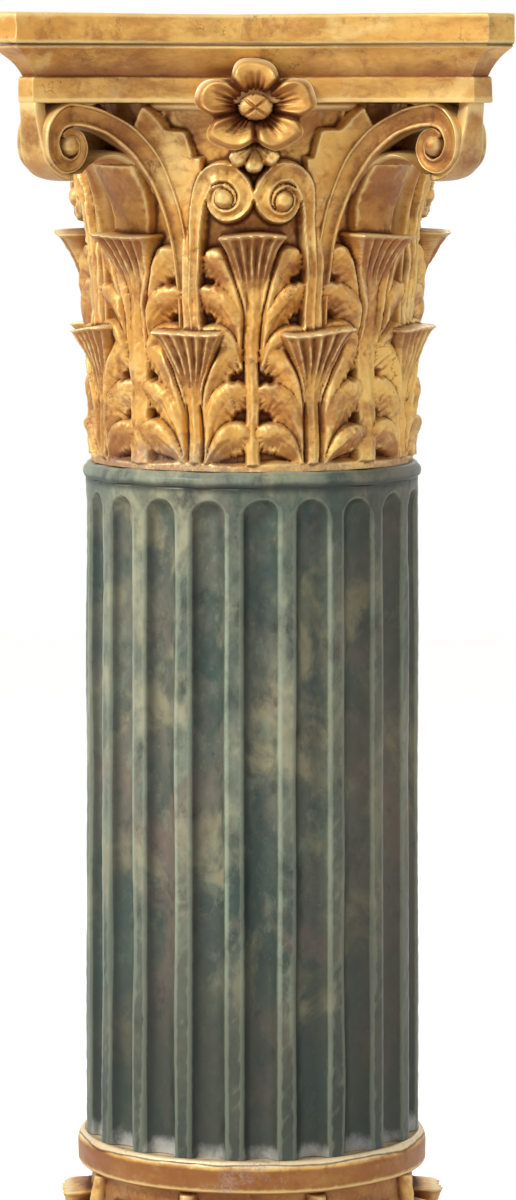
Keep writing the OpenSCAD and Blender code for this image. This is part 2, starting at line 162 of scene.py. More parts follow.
def relief(v, f, rounds, normals):
    """How far each vertex stands out of its smoothed neighbourhood, along its normal."""
    mean = neighbour_mean(f, len(v))
    smoothed, done, out = v, 0, []
    for stop in rounds:
        for _ in range(stop - done):
            smoothed = 0.4 * smoothed + 0.6 * mean(smoothed)
        done = stop
        out.append(((v - smoothed) * normals).sum(1))
    return out


waiting = []


def make(name, v, f, material, slot, marks=None, rounds=(3, 14), seams=None):
    """Keeps a piece, in millimetres, until every piece is known and can shade the others."""
    v = np.asarray(v, float)
    f = np.asarray(f, np.int64)
    normals = mesh_normals(v, f)
    marks = dict(marks or {})
    for key, value in zip(("fine", "broad"), relief(v, f, rounds, normals)):
        marks.setdefault(key, value)
    marks.setdefault("dust", np.zeros(len(v)))
    # faces that look down get painted shade through the under mark, less of it where a piece asks for less
    marks["under"] = smooth((-normals[:, 2] - 0.1) / 0.8) * marks.pop("sheltered", 1.0)
    waiting.append([name, v, f, normals, material, slot, marks, seams or [(name, np.arange(len(f)))]])


def shade_each_other():
    """How closed in each vertex is, from short rays to all the pieces: the colour is darkened there as
    painted shade.
    """
    reach, rays = 55.0, 10
    starts = np.cumsum([0] + [len(w[1]) for w in waiting])
    corners = np.concatenate([w[1] for w in waiting]).tolist()
    quads = np.concatenate([w[2] + n for w, n in zip(waiting, starts)]).tolist()
    tree = BVHTree.FromPolygons(corners, quads)
    rng = np.random.default_rng(77)
    k = np.arange(rays)
    up = np.sqrt(1 - (k + 0.5) / rays)
    flat = np.sqrt(1 - up**2)
    spin_by = k * 2.399963
    for name, v, f, n, _, _, marks, _ in waiting:
        if name == "fluted_shaft":
            marks["closed"] = np.zeros(len(v))
            continue
        step = 2 if len(v) > 60000 else 1
        chosen = np.arange(0, len(v), step)
        nn = n[chosen]
        helper = np.where(np.abs(nn[:, 2:3]) < 0.9, np.array([[0, 0, 1.0]]), np.array([[1.0, 0, 0]]))
        side = np.cross(helper, nn)
        side /= np.linalg.norm(side, axis=1)[:, None]
        other = np.cross(nn, side)
        turn = rng.uniform(0, TURN, len(chosen))[:, None] + spin_by[None]
        way = (
            nn[:, None] * up[None, :, None]
            + side[:, None] * (np.cos(turn) * flat)[..., None]
            + other[:, None] * (np.sin(turn) * flat)[..., None]
        )
        origin = (v[chosen] + nn * 0.9).tolist()
        way = way.tolist()
        cast = tree.ray_cast
        closed = np.zeros(len(chosen))
        for i, o in enumerate(origin):
            total = 0.0
            for d in way[i]:
                distance = cast(o, d, reach)[3]
                if distance is not None:
                    total += 1.0 - distance / reach
            closed[i] = total / rays
        full = np.interp(np.arange(len(v)), chosen, closed)
        mean = neighbour_mean(f, len(v))
        for _ in range(5):
            full = 0.35 * full + 0.65 * mean(full[:, None])[:, 0]
        marks["closed"] = full


def build_pieces():
    for _, v, f, normals, material, slot, marks, seams in waiting:
        for label, chosen in seams:
            used, back = np.unique(f[chosen], return_inverse=True)
            faces = back.reshape(-1, f.shape[1])
            m = bpy.data.meshes.new(label)
            m.vertices.add(len(used))
            m.vertices.foreach_set("co", (v[used] / MM).astype(np.float32).ravel())
            m.loops.add(faces.size)
            m.loops.foreach_set("vertex_index", faces.astype(np.int32).ravel())
            m.polygons.add(len(faces))
            m.polygons.foreach_set("loop_start", np.arange(0, faces.size, f.shape[1], dtype=np.int32))
            m.polygons.foreach_set("use_smooth", np.ones(len(faces), bool))
            m.update(calc_edges=True)
            for key, value in marks.items():
                store = m.attributes.new(key, "FLOAT", "POINT")
                store.data.foreach_set("value", np.asarray(value, np.float32)[used])
            m.normals_split_custom_set_from_vertices(normals[used].tolist())
            m.materials.append(material)
            o = bpy.data.objects.new(label, m)
            bpy.context.scene.collection.objects.link(o)
            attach(o, "root")


def strip(rows, cols):
    """Quads of a grid of rows x cols vertices, closed round the columns."""
    i = np.arange(rows - 1)[:, None]
    j = np.arange(cols)[None, :]
    k = (j + 1) % cols
    return np.stack([i * cols + j, i * cols + k, (i + 1) * cols + k, (i + 1) * cols + j], -1).reshape(-1, 4)


def tube(rings):
    """Closed body through a list of rings: its ends are drawn in to their middles."""
    rings = [np.asarray(r, float) for r in rings]
    first, last = rings[0], rings[-1]
    low, high = first.mean(0), last.mean(0)
    rings = [mix(low, first, 0.001)] + rings + [mix(high, last, 0.001)]
    v = np.concatenate(rings)
    f = strip(len(rings), len(first))
    area = np.cross(v[f[:, 2]] - v[f[:, 0]], v[f[:, 3]] - v[f[:, 1]])
    if (area * v[f[:, 0]]).sum() < 0:
        f = f[:, ::-1]
    return v, f


def headings(line):
    """Unit directions of a path at each of its points."""
    step = np.concatenate([line[1:], line[-1:]]) - np.concatenate([line[:1], line[:-1]])
    return step / np.linalg.norm(step, axis=1)[:, None]


def join(parts):
    vs, fs, n = [], [], 0
    for v, f in parts:
        vs.append(v)
        fs.append(f + n)
        n += len(v)
    return np.concatenate(vs), np.concatenate(fs)


def spin(v, quarter):
    """Points in the plane or in space, turned round the column by quarters."""
    a = quarter * math.pi / 2
    c, s = math.cos(a), math.sin(a)
    size = v.shape[-1]
    return v @ np.array([[c, s, 0], [-s, c, 0], [0, 0, 1]])[:size, :size]


def turn_of(v):
    """Angle of each point round the column, from the front towards +X."""
    return np.arctan2(v[:, 0], -v[:, 1])


def around(theta, r, z):
    return np.stack([r * np.sin(theta), -r * np.cos(theta), z + 0 * theta], -1)


# ---------------------------------------------------------------- materials


class Graph:
    """The shader nodes of a material or of the world."""

    def __init__(self, owner):
        owner.use_nodes = True
        self.tree = owner.node_tree
        self.tree.nodes.clear()

    def node(self, kind, **values):
        """A new node: _name=value sets a property, and Some__Name=value sets an input."""
        n = self.tree.nodes.new(kind)
        for key, value in values.items():
            if key.startswith("_"):
                setattr(n, key[1:], value)
            else:
                n.inputs[key.replace("__", " ")].default_value = value
        return n

    def link(self, a, b):
        self.tree.links.new(a, b)

    def give(self, socket, x):
        """Sets an input to a number or a colour, or links it to another node's output."""
        if isinstance(x, tuple):
            socket.default_value = (*x, 1.0)
        elif isinstance(x, (int, float)):
            socket.default_value = x
        else:
            self.link(x, socket)

    def attribute(self, name):
        return self.node("ShaderNodeAttribute", _attribute_name=name).outputs["Fac"]

    def place(self):
        return self.node("ShaderNodeTexCoord").outputs["Object"]

    def noise(self, scale, detail=4.0, rough=0.55, stretch=None, distortion=0.0):
        n = self.node("ShaderNodeTexNoise", Scale=scale, Detail=detail, Roughness=rough)
        n.inputs["Distortion"].default_value = distortion
        where = self.place()
        if stretch:
            mapping = self.node("ShaderNodeMapping", Scale=stretch)
            self.link(where, mapping.inputs["Vector"])
            where = mapping.outputs["Vector"]
        self.link(where, n.inputs["Vector"])
        return n.outputs["Fac"]

    def span(self, value, low, high, to_low=0.0, to_high=1.0, soft=True):
        kind = "SMOOTHSTEP" if soft else "LINEAR"
        n = self.node("ShaderNodeMapRange", _clamp=True, _interpolation_type=kind)
        limits = {"From Min": low, "From Max": high, "To Min": to_low, "To Max": to_high}
        for key, limit in limits.items():
            n.inputs[key].default_value = limit
        self.link(value, n.inputs["Value"])
        return n.outputs["Result"]

    def maths(self, kind, a, b):
        n = self.node("ShaderNodeMath", _operation=kind, _use_clamp=False)
        for socket, x in zip(n.inputs, (a, b)):
            self.give(socket, x)
        return n.outputs["Value"]

    def times(self, a, b):
        return self.maths("MULTIPLY", a, b)

    def plus(self, a, b):
        return self.maths("ADD", a, b)

    def colour(self, factor, a, b):
        n = self.node("ShaderNodeMix", _data_type="RGBA")
        for socket, x in zip([s for s in n.inputs if s.enabled], (factor, a, b)):
            self.give(socket, x)
        return [s for s in n.outputs if s.enabled][0]

    def glaze(self, under, mask, strength, tint):
        """A thin coat of one colour where the mask lets it through."""
        return self.colour(self.times(mask, strength), under, srgb(*tint))


def sees_background(g):
    """1 for the rays to which the background and the floor are white paper."""
    path = g.node("ShaderNodeLightPath")
    either = g.maths("MAXIMUM", path.outputs["Is Camera Ray"], path.outputs["Is Transmission Ray"])
    return g.maths("MAXIMUM", either, path.outputs["Is Glossy Ray"])


def choose(g, plain, paper, out):
    """Shows the paper to the rays that see the background, and the plain shader to the rest."""
    blend = g.node("ShaderNodeMixShader")
    g.link(sees_background(g), blend.inputs[0])
    g.link(plain.outputs[0], blend.inputs[1])
    g.link(paper.outputs[0], blend.inputs[2])
    g.link(blend.outputs[0], out.inputs["Surface"])


def srgb(r, g, b):
    return tuple((c / 255 / 12.92) if c <= 10 else ((c / 255 + 0.055) / 1.055) ** 2.4 for c in (r, g, b))


def painted(name, metallic, specular):
    """A material of one principled shader, with the graph that feeds it."""
    m = bpy.data.materials.new(name)
    g = Graph(m)
    shader = g.node("ShaderNodeBsdfPrincipled", Metallic=metallic, Specular__IOR__Level=specular)
    out = g.node("ShaderNodeOutputMaterial")
    g.link(shader.outputs[0], out.inputs["Surface"])
    return m, g, shader


def feed(g, shader, skin, rough, height, strength, distance):
    """Links the colour, the roughness and a bump to the shader."""
    bump = g.node("ShaderNodeBump", Strength=strength, Distance=distance)
    g.link(skin, shader.inputs["Base Color"])
    g.link(rough, shader.inputs["Roughness"])
    g.link(height, bump.inputs["Height"])
    g.link(bump.outputs["Normal"], shader.inputs["Normal"])


def gilding(name, seed=0.0, warmth=0.0, dusty=0.0, patina=0.7):
    """Burnished leaf over red-brown bole, with painted shade in the hollows and creases and painted
    highlights on the ridges and edges.
    """
    m, g, shader = painted(name, 0.38, 0.5)
    fine, broad, closed = g.attribute("fine"), g.attribute("broad"), g.attribute("closed")
    cloud = g.noise(5 + seed, 5, 0.6, distortion=0.5)
    blotch = g.noise(19 + seed, 5, 0.6, distortion=0.7)
    grain = g.noise(120, 5, 0.7)
    speck = g.noise(480, 3, 0.6)
    smear = g.noise(12 + seed, 7, 0.68, stretch=(1.0, 1.0, 2.2), distortion=0.2)
    leaf = g.colour(g.span(cloud, 0.38, 0.62), srgb(238, 191, 104), srgb(214, 156, 74))
    leaf = g.glaze(leaf, g.span(blotch, 0.52, 0.70), 0.65, (248, 215, 140))
    leaf = g.glaze(leaf, g.span(smear, 0.54, 0.36), patina, (158, 94, 40))
    stain = g.noise(34 + seed, 6, 0.7, stretch=(1.0, 1.0, 0.6))
    leaf = g.glaze(leaf, g.span(stain, 0.46, 0.34), 0.25 + 0.6 * patina, (150, 92, 46))
    # tone mark: paler above zero, browner below it. It carries painted shade in the leaves' lips, on the bare
    # ground, under the corner scrolls, in the abacus hollow and on the base ring's face, a painted highlight
    # on the ring's ledge, paler rims and upward faces, and some parts' own browner tone
    tone = g.attribute("tone")
    toned = g.plus(tone, g.span(smear, 0.3, 0.7, -0.3, 0.3, soft=False))
    shown = g.span(tone, 0.0, 0.15)
    leaf = g.glaze(leaf, g.times(g.span(toned, 0.0, 0.9), shown), 0.85, (242, 224, 184))
    shown = g.span(tone, 0.0, -0.15)
    leaf = g.glaze(leaf, g.times(g.span(toned, 0.1, -1.0), shown), 0.9, (138, 80, 32))
    leaf = g.glaze(leaf, g.span(grain, 0.56, 0.76), 0.22, (158, 106, 54))
    bole = g.colour(g.span(grain, 0.4, 0.6), srgb(148, 84, 44), srgb(112, 62, 34))
    # leaf rubbed through to the bole in patches
    rub = g.times(g.span(g.noise(14 + seed, 6, 0.7), 0.57, 0.70), g.span(grain, 0.40, 0.60))
    skin = g.colour(g.times(rub, 0.45 + warmth), leaf, bole)
    # painted shade: brown in the hollows, under the overhangs and in the creases, and the bole's colour where
    # the pieces close each other in; painted highlights on the ridges and edges
    jitter = g.span(grain, 0.3, 0.7, -0.35, 0.35, soft=False)
    sway = g.span(smear, 0.3, 0.7, 0.14, -0.14, soft=False)
    # painted highlight on the ridges
    ridge = g.span(g.plus(broad, jitter), 0.15, 1.5)
    skin = g.glaze(skin, ridge, 0.6, (250, 220, 148))
    # painted shade under the overhangs
    down = g.span(g.plus(g.attribute("under"), sway), 0.02, 0.55)
    skin = g.glaze(skin, down, 0.62, (146, 84, 34))
    # painted shade in the bole's colour where the pieces close each other in and in each flower's cup; the
    # same mark also holds the base ring's crack
    pit = g.span(g.plus(g.plus(closed, g.times(g.attribute("grime"), 0.6)), sway), 0.42, 0.92)
    skin = g.colour(g.times(pit, 0.85), skin, bole)
    # painted shade in the hollows
    hollow = g.span(g.plus(g.times(broad, -1.0), jitter), 0.05, 1.5)
    skin = g.glaze(skin, hollow, 0.8, (118, 68, 34))
    # painted shade in the narrow creases
    crease = g.span(g.plus(g.times(fine, -1.0), g.times(jitter, 0.4)), 0.12, 0.8)
    skin = g.glaze(skin, crease, 0.66, (70, 40, 25))
    # painted highlight along the edges
    edge = g.span(g.plus(fine, g.times(jitter, 0.6)), 0.15, 0.8)
    skin = g.glaze(skin, edge, 0.28, (252, 228, 172))
    # hair cracks
    wander = g.maths("ABSOLUTE", g.maths("SUBTRACT", g.noise(4 + seed, 8, 0.62), 0.5), 0.0)
    crackle = g.times(g.span(wander, 0.0040, 0.0008), g.span(g.noise(31 + seed, 2, 0.5), 0.56, 0.62))
    skin = g.glaze(skin, crackle, 0.55, (84, 48, 27))
    # grey bloom of dust and worn patches
    bloom = g.plus(g.noise(12 + seed, 6, 0.7), g.times(g.attribute("dust"), 0.2))
    worn = g.times(g.span(bloom, 0.57, 0.70), g.span(speck, 0.35, 0.6))
    heavy = g.plus(g.times(g.attribute("dust"), 0.22), 0.4 + dusty)
    skin = g.glaze(skin, worn, heavy, (170, 148, 138))
    rough = g.span(blotch, 0.3, 0.7, 0.52, 0.42)
    rough = g.plus(rough, g.times(hollow, 0.25))
    rough = g.plus(rough, g.times(crease, 0.2))
    height = g.plus(blotch, g.times(grain, 0.4))
    height = g.plus(height, g.times(speck, 0.08))
    feed(g, shader, skin, rough, height, 0.5, 0.0014)
    return m


def faux_marble(name):
    """Painted marbling: soft grey-green, khaki and mauve clouds, paler on the lands, with painted highlights
    on the lands' lit edges and painted shade in the flutes, on the +X side and towards the foot.
    """
    m, g, shader = painted(name, 0.0, 0.4)
    land, fine, broad = g.attribute("land"), g.attribute("fine"), g.attribute("broad")
    height, side, dust = g.attribute("height"), g.attribute("side"), g.attribute("dust")
    cloud = g.noise(8.0, 5, 0.6, stretch=(1.0, 1.0, 0.7), distortion=0.4)
    patch = g.noise(15, 5, 0.6, stretch=(1.0, 1.0, 0.75), distortion=0.4)
    mauve = g.noise(12, 4, 0.6, stretch=(1.0, 1.0, 0.7), distortion=0.3)
    mottle = g.noise(44, 6, 0.7, stretch=(1.0, 1.0, 0.7))
    fleck = g.noise(210, 4, 0.7)
    ground = g.colour(g.span(cloud, 0.40, 0.60), srgb(58, 74, 68), srgb(116, 116, 102))
    for clouds, low, high, strength, tint in (
        (patch, 0.52, 0.64, 0.9, (158, 152, 122)),
        (mauve, 0.47, 0.37, 0.75, (128, 112, 100)),
        (mauve, 0.54, 0.64, 0.75, (42, 72, 66)),
        (mottle, 0.52, 0.68, 0.45, (144, 154, 132)),
        (mottle, 0.47, 0.32, 0.55, (40, 46, 40)),
        (fleck, 0.60, 0.72, 0.3, (156, 150, 128)),
    ):
        ground = g.glaze(ground, g.span(clouds, low, high), strength, tint)
    pale = g.colour(g.span(patch, 0.42, 0.62), srgb(126, 142, 124), srgb(182, 180, 150))
    strength = g.span(g.plus(mottle, g.plus(cloud, patch)), 1.32, 1.66, 0.05, 0.72, soft=False)
    skin = g.colour(g.times(land, strength), ground, pale)
    teal = g.span(g.noise(13, 5, 0.62, stretch=(1.0, 1.0, 0.7)), 0.52, 0.62)
    skin = g.glaze(skin, teal, 0.5, (48, 74, 68))
    # painted highlight along the lit left edge of each land and on the top of the neck's roll
    painted_highlight = g.times(g.attribute("arris"), g.span(mottle, 0.38, 0.56, 0.2, 0.7))
    skin = g.colour(painted_highlight, skin, srgb(172, 186, 164))
    # painted shade: browner and darker towards the +X side
    brown = g.span(g.plus(side, g.times(cloud, 0.7)), 0.55, 1.15)
    skin = g.glaze(skin, brown, 0.5, (84, 74, 56))
    # painted shade: darker towards the foot
    low = g.span(g.plus(height, g.times(cloud, -0.8)), 0.16, -0.40)
    skin = g.glaze(skin, low, 0.8, (40, 50, 42))
    # painted shade on the left wall of each flute, below the neck and under its roll
    skin = g.glaze(skin, g.attribute("grime"), 0.85, (26, 34, 30))
    # painted shade in the hollows
    hollow = g.span(g.times(broad, -1.0), 0.1, 1.4)
    skin = g.glaze(skin, hollow, 0.55, (28, 38, 36))
    # painted highlight along the edges
    edge = g.span(g.plus(fine, g.times(mottle, 0.25)), 0.2, 0.42)
    skin = g.glaze(skin, edge, 0.22, (176, 186, 162))
    powder = g.span(g.plus(dust, g.times(g.plus(patch, mottle), 1.4)), 1.75, 2.6)
    skin = g.glaze(skin, powder, 0.8, (206, 208, 206))
    rough = g.span(mottle, 0.3, 0.7, 0.36, 0.58)
    feed(g, shader, skin, rough, g.plus(patch, g.times(mottle, 0.5)), 0.35, 0.0009)
    return m


gilt = gilding("gilding_carved")
gilt_plain = gilding("gilding_plain", seed=2.3, patina=0.5)
gilt_base = gilding("gilding_base", seed=5.1, warmth=0.2, dusty=0.2, patina=0.7)
marbled = faux_marble("painted_marbling")


# ---------------------------------------------------------------- carved relief

# How far a wall of carving spreads, and the teeth round a lobe: how long and how deep
EDGE = 1.5
TOOTH, BITE = 7.6, 4.3


def nearest(path, u, z):
    """Share of the path's length, distance from it, signed offset to its left, and run past its end."""
    best = np.full(u.shape, 1e9)
    share = np.zeros(u.shape)
    offset = np.zeros(u.shape)
    steps = np.hypot(*np.diff(path, axis=0).T)
    start = np.concatenate([[0], np.cumsum(steps)]) / steps.sum()
    for i in range(len(path) - 1):
        a = path[i]
        d = (path[i + 1] - a) / steps[i]
        run = (u - a[0]) * d[0] + (z - a[1]) * d[1]
        s = np.clip(run, 0, steps[i])
        side = d[0] * (z - a[1]) - d[1] * (u - a[0])
        dist = np.hypot(u - a[0] - s * d[0], z - a[1] - s * d[1])
        m = dist < best
        best = np.where(m, dist, best)
        share = np.where(m, start[i] + s / steps[i] * (start[i + 1] - start[i]), share)
        offset = np.where(m, side, offset)
    d = (path[-1] - path[-2]) / steps[-1]
    beyond = (u - path[-1][0]) * d[0] + (z - path[-1][1]) * d[1]
    return share, best, offset, beyond, steps.sum()


def lobe(u, z, points, width, height):
    """One spoon-shaped lobe: high along its upper side, lower outwards, with a toothed tip."""
    t, dist, left, beyond, length = nearest(bezier(points, 14), u, z)
    w = width * (0.30 + 0.70 * smooth(t / 0.8))
    tip = np.arctan2(left, np.maximum(beyond, 0) + 1e-6) * (t > 0.985) + math.pi / 2
    where = np.where(left < 0, t * length, length + math.pi * w + (1 - t) * length)
    where = np.where(t > 0.985, length + tip * w, where)
    notch = 1 - np.sqrt(np.clip(1 - (2 * np.mod(where / TOOTH, 1) - 1) ** 2, 0, 1))
    w = w - BITE * notch * smooth((t - 0.5) / 0.3) * smooth((0.6 - left / w) / 0.5)
    lam = np.clip(left / w, -1, 1)
    swell = smooth((lam + 1) / 1.45) * (1 - 0.30 * smooth((lam - 0.5) / 0.5))
    fade = 1 - 0.28 * smooth((beyond / w) * (t > 0.985))
    vein = 0.7 * hump(left, 1.3) * smooth((0.95 - t) / 0.3) * smooth(t / 0.2)
    h = (height(t) * (0.46 + 0.54 * swell) - vein) * fade
    return h * smooth((w - dist) / EDGE)


# A leaf is drawn at this height, and scaled to the height that it has; its foot stands out this far
DRAWN_H, LEAF_FOOT = 111.0, 12.0
# Middle lines of the lobes from the stem outwards, and how wide each one is
LOBES = (
    (((10, 14), (13, 50), (22, 77), (37, 88)), 15.0),
    (((11, 4), (16, 30), (26, 55), (40, 56)), 15.5),
    (((11, -2), (19, 13), (30, 25), (42, 22)), 14.0),
)
# Drilled eyes between the lobes: place across and up, and radius
EYES = ((43.0, 8.5, 3.0), (42.0, 40, 3.8), (39.0, 72, 3.8))


def leaf_relief(u, z, blade_z, height, lip_out, lip, reach=1.0, stem=7.0, foot_z=4.0):
    """Relief of one leaf over the surface that it grows on."""
    foot = LEAF_FOOT
    k = height / DRAWN_H
    side = np.abs(u)
    zz = (z - blade_z) / k
    f = np.clip((z - blade_z) / height, 0, 1)
    top = blade_z + height
    # valley floor between the lobes
    floor_w = 26 * smooth((zz - 2) / 22) * (1 - 0.3 * smooth((zz - 80) / 20)) + 6
    h = 0.66 * foot * smooth((floor_w - side) / 4) * (zz > -1) * (zz < 96)

    def swell(t):
        return foot * (0.92 + 0.50 * smooth(t / 0.7) - 0.12 * smooth((t - 0.8) / 0.2))

    for points, width in LOBES:
        path = [(q[0] * reach, q[1]) for q in points]
        h = np.maximum(h, lobe(side, zz, path, width, swell))
    # drilled eyes between the tips, each open to the outside
    for eu, ez, er in EYES:
        d = np.hypot((side - eu * reach) / 1.15, zz - ez)
        slit = np.where(side > eu * reach, np.abs(zz - ez - 0.35 * (side - eu * reach)), 99)
        h = h * smooth((d - er * 0.62) / 1.6) * smooth((slit - 0.6) / 1.4)
    # stem, which flares into the lip
    flare = np.clip((f - 0.4) / 0.6, 0, 1) ** 1.5
    w = stem + (lip - stem) * flare
    out = foot + 1.0 + (lip_out - foot - 1.0) * np.clip((f - 0.5) / 0.5, 0, 1) ** 1.7
    s = np.clip(side / w, 0, 1)
    slope = np.sqrt(1 + (1.5 * (lip - stem) * np.sqrt(flare + 1e-6) / (0.6 * height)) ** 2)
    inside = smooth((w - side) / slope / EDGE)
    many = (0.5 - 0.5 * np.cos(TURN * 3 * s)) ** 0.8
    few = (0.5 - 0.5 * np.cos(TURN * s)) ** 0.8
    cut = mix(1.3 * few, 4.6 * many * (1 - 0.3 * s), smooth((f - 0.5) / 0.4))
    rim = 1.2 * smooth((f - 0.955) / 0.03)
    round_off = 3.2 * s**3 * (1 - smooth((f - 0.5) / 0.3))
    body = (out - cut * (1 - 0.45 * rim) - round_off + rim) * inside
    below = smooth((z - foot_z) / 2) * (z <= top + 1e-6)
    groove = 4.5 * hump(side - w - 1.2, 1.5) * smooth((0.97 - f) / 0.12) * (zz > 2)
    h = np.maximum(h - groove, 0)
    h = np.maximum(h * (z <= top - 7 * k), body * (z <= top + 1e-6))
    return h * below


SPIRAL = 0.22 / (math.pi / 2)
HELIX_R, HELIX_U, HELIX_Z, HELIX_OUT = 32.0, 25.0, 223.0, 14.5


def inner_scroll(du, dz):
    """Inner scroll seen face on. It turns from its crest towards +du."""
    size, base, eye = HELIX_R, HELIX_OUT, 7.6
    rho = np.hypot(du, dz) + 1e-6
    a = np.mod(np.arctan2(du, dz), TURN)
    turn = (np.log(size / rho) / SPIRAL - a) / TURN
    n = np.clip(np.floor(turn), 0, 1)
    outer = size * np.exp(-SPIRAL * (a + TURN * n))
    inner = outer * math.exp(-SPIRAL * TURN)
    s = (outer - rho) / (outer - inner)
    wide = outer - inner
    rim = 1.5 * hump((s - 0.13) * wide, 1.5) + 1.3 * hump((s - 0.84) * wide, 1.5)
    channel = -1.6 * smooth(1 - np.abs(s - 0.48) / 0.36)
    groove = -2.0 * hump((1 - s) * wide, 1.5)
    groove = groove - 1.6 * hump(s * wide, 1.3) * (n > 0)
    h = base + 1.2 * n + rim * (1 - 0.5 * n) + channel * (1 - n) + groove
    boss = np.sqrt(np.clip(1 - (rho / eye) ** 2, 0, 1))
    h = np.where(rho < eye + 1.4, base - 1.2, h)
    h = np.where(rho < eye, base - 0.6 + 6.0 * boss, h)
    first = size * np.exp(-SPIRAL * a)
    return h * smooth((first - rho) / EDGE)


def band_relief(path, half, base, u, z):
    """A band with two raised rims and a shallow channel along a path."""
    t, dist, left, *_ = nearest(path, u, z)
    w = half(t)
    s = left / w
    rims = 1.6 * hump((np.abs(s) - 0.8) * w, 1.4)
    channel = -1.6 * smooth(1 - np.abs(s) / 0.62)
    ends = (t > 0.001) * (t < 0.999)
    return (base + rims + channel) * smooth((w - dist) / EDGE) * ends


def bell_r(z):
    return BELL_FOOT_R + BELL_FLARE * (np.clip(z, 0, None) / BELL_H) ** 3


# Plain band at the bell's foot: how proud, and how high
FOOT_BAND, FOOT_BAND_H = 9.5, 9.0
# Panel between the inner scroll and the corner: its foot, its two steps, and its outer edge by height
WEB_Z, STEP_Z, HIGH_STEP_Z = 196, 256, 278
RIBBON = (190, 205, 230, 250, 265, 280, 290, 300), (66, 71, 78, 87, 97, 100, 96, 92)
# Small leaf that hangs under each flower: where it springs from, and its length
SPRIG_Z, SPRIG_R = 268, 23.0


def capital_relief(theta, z):
    """Relief of a quarter of the capital's drum over the bell."""
    u = REF_R * theta
    side = np.abs(u)
    h = 0.0 * u
    # plain band round the foot
    h = np.maximum(h, FOOT_BAND * smooth((FOOT_BAND_H - z) / 3) * smooth((z + 4) / 3))
    # web between the inner scrolls and the corners, with its stepped edge
    low_step = mix(52.4, 58.4, (z - STEP_Z) / (HIGH_STEP_Z - STEP_Z))
    high_step = mix(73.0, 90.0, (z - HIGH_STEP_Z) / 24)
    inner = np.where(z < STEP_Z, 46.0, np.where(z < HIGH_STEP_Z, low_step, high_step))
    web = 8.5 + 20 * (np.clip(side - 62, 0, 60) / 40) ** 2
    ribbon = np.interp(z, *RIBBON)
    web = web * smooth((side - inner) / EDGE) * smooth((z - WEB_Z) / 5) * smooth((ribbon - side) / 4)
    h = np.maximum(h, web)
    # support leaf's body under the corner
    corner = np.abs(side - LEAF_PITCH)
    body = 15 - 4.0 * (corner / 24) ** 2 + 16 * smooth((z - 205) / 50) ** 1.5
    h = np.maximum(h, body * smooth((23.5 - corner) / 3) * smooth((z - 150) / 10) * smooth((256 - z) / 6))
    recess = 3.0 + 9 * smooth((z - 262) / 30) * smooth((side - 92) / 14)
    h = np.maximum(h, recess * (side > 78) * smooth((z - 120) / 20))
    # stalks' inner halves, which rise into the inner scrolls
    crest = HELIX_Z + 23
    rise = bezier(((STALK_U - 5.5, 99), (STALK_U - 3, 213), (STALK_U - 7, crest), (HELIX_U - 2, crest)), 26)

    def half(t):
        return 6.2 + 3.1 * smooth((t - 0.45) / 0.5)

    h = np.maximum(h, 14.0 * smooth((9 - np.abs(side - STALK_U)) / 2) * (z > 99) * smooth((236 - z) / 70))
    h = np.maximum(h, band_relief(rise, half, HELIX_OUT + 0.3, side, z))
    for sign in (-1, 1):
        h = np.maximum(h, (HELIX_OUT - 3.5) * smooth((19 - np.hypot(u - sign * HELIX_U, z - HELIX_Z)) / 3))
        h = np.maximum(h, inner_scroll(sign * (HELIX_U * sign - u), z - HELIX_Z))
    # small leaf under the flower
    reach = np.hypot(u / 1.12, z - SPRIG_Z) + 1e-6
    fan = np.arctan2(u / 1.12, SPRIG_Z - z) / math.radians(50)
    lobe_at = np.mod(fan + 0.5, 1) - 0.5
    edge = SPRIG_R * (1 - 0.25 * np.abs(2 * lobe_at) ** 3) * smooth((1.62 - np.abs(fan)) / 0.2)
    pleat = 4.5 * hump((0.5 - np.abs(lobe_at)) * reach, 2.0) * (np.abs(fan) < 1.3)
    pleat = pleat + 1.6 * hump((np.abs(lobe_at) - 0.17) * reach, 1.2) * smooth((16 - reach) / 5)
    sprig = (21 + 8 * smooth(reach / 19) - pleat) * smooth((edge - reach) / EDGE)
    h = np.maximum(h, sprig * (z < SPRIG_Z + 4))
    # leaves
    for c, stem in ((-1, 12.0), (0, 7.5), (1, 12.0)):
        leaf = leaf_relief(u - c * LEAF_PITCH, z, BLADE_Z, BLADE_H, UPPER_OUT, UPPER_LIP, stem=stem)
        h = np.maximum(h, leaf)
    low = 0 * h
    for c in (-1.5, -0.5, 0.5, 1.5):
        across = u - c * LEAF_PITCH
        leaf = leaf_relief(across, z, LOWER_Z, LOWER_H - LOWER_Z, LOWER_OUT, LOWER_LIP, reach=1.05)
        low = np.maximum(low, leaf)
    return np.maximum(h, low)


def trumpet(u, z, blade_z, height, lip):
    """Marks of a leaf's lip: painted shade inside it, and paler along its rim."""
    f = np.clip((z - blade_z) / height, 0, 1)
    w = 5 + (lip - 5) * np.clip((f - 0.4) / 0.6, 0, 1) ** 1.5
    on = smooth((w - np.abs(u)) / 3) * (z <= blade_z + height)
    return 0.7 * on * (1.8 * smooth((f - 0.955) / 0.02) - smooth((f - 0.46) / 0.3))


def capital_tone(theta, z):
    u = REF_R * theta
    tone = 0 * u
    upper = ((-1, 0, 1), BLADE_Z, BLADE_H, UPPER_LIP)
    lower = ((-1.5, -0.5, 0.5, 1.5), LOWER_Z, LOWER_H - LOWER_Z, LOWER_LIP)
    for places, blade_z, height, lip in (upper, lower):
        for place in places:
            mark = trumpet(u - place * LEAF_PITCH, z, blade_z, height, lip)
            tone = np.where(mark != 0, mark, tone)
    # painted shade on the leaf's body under the corner scroll, and in the recess over it
    corner = np.abs(np.abs(u) - LEAF_PITCH)
    tone = tone - 0.5 * smooth((27 - corner) / 3) * smooth((z - UPPER_H - 2) / 3) * smooth((262 - z) / 6)
    return tone - 0.7 * smooth((z - 268) / 12) * smooth((np.abs(u) - 96) / 6)


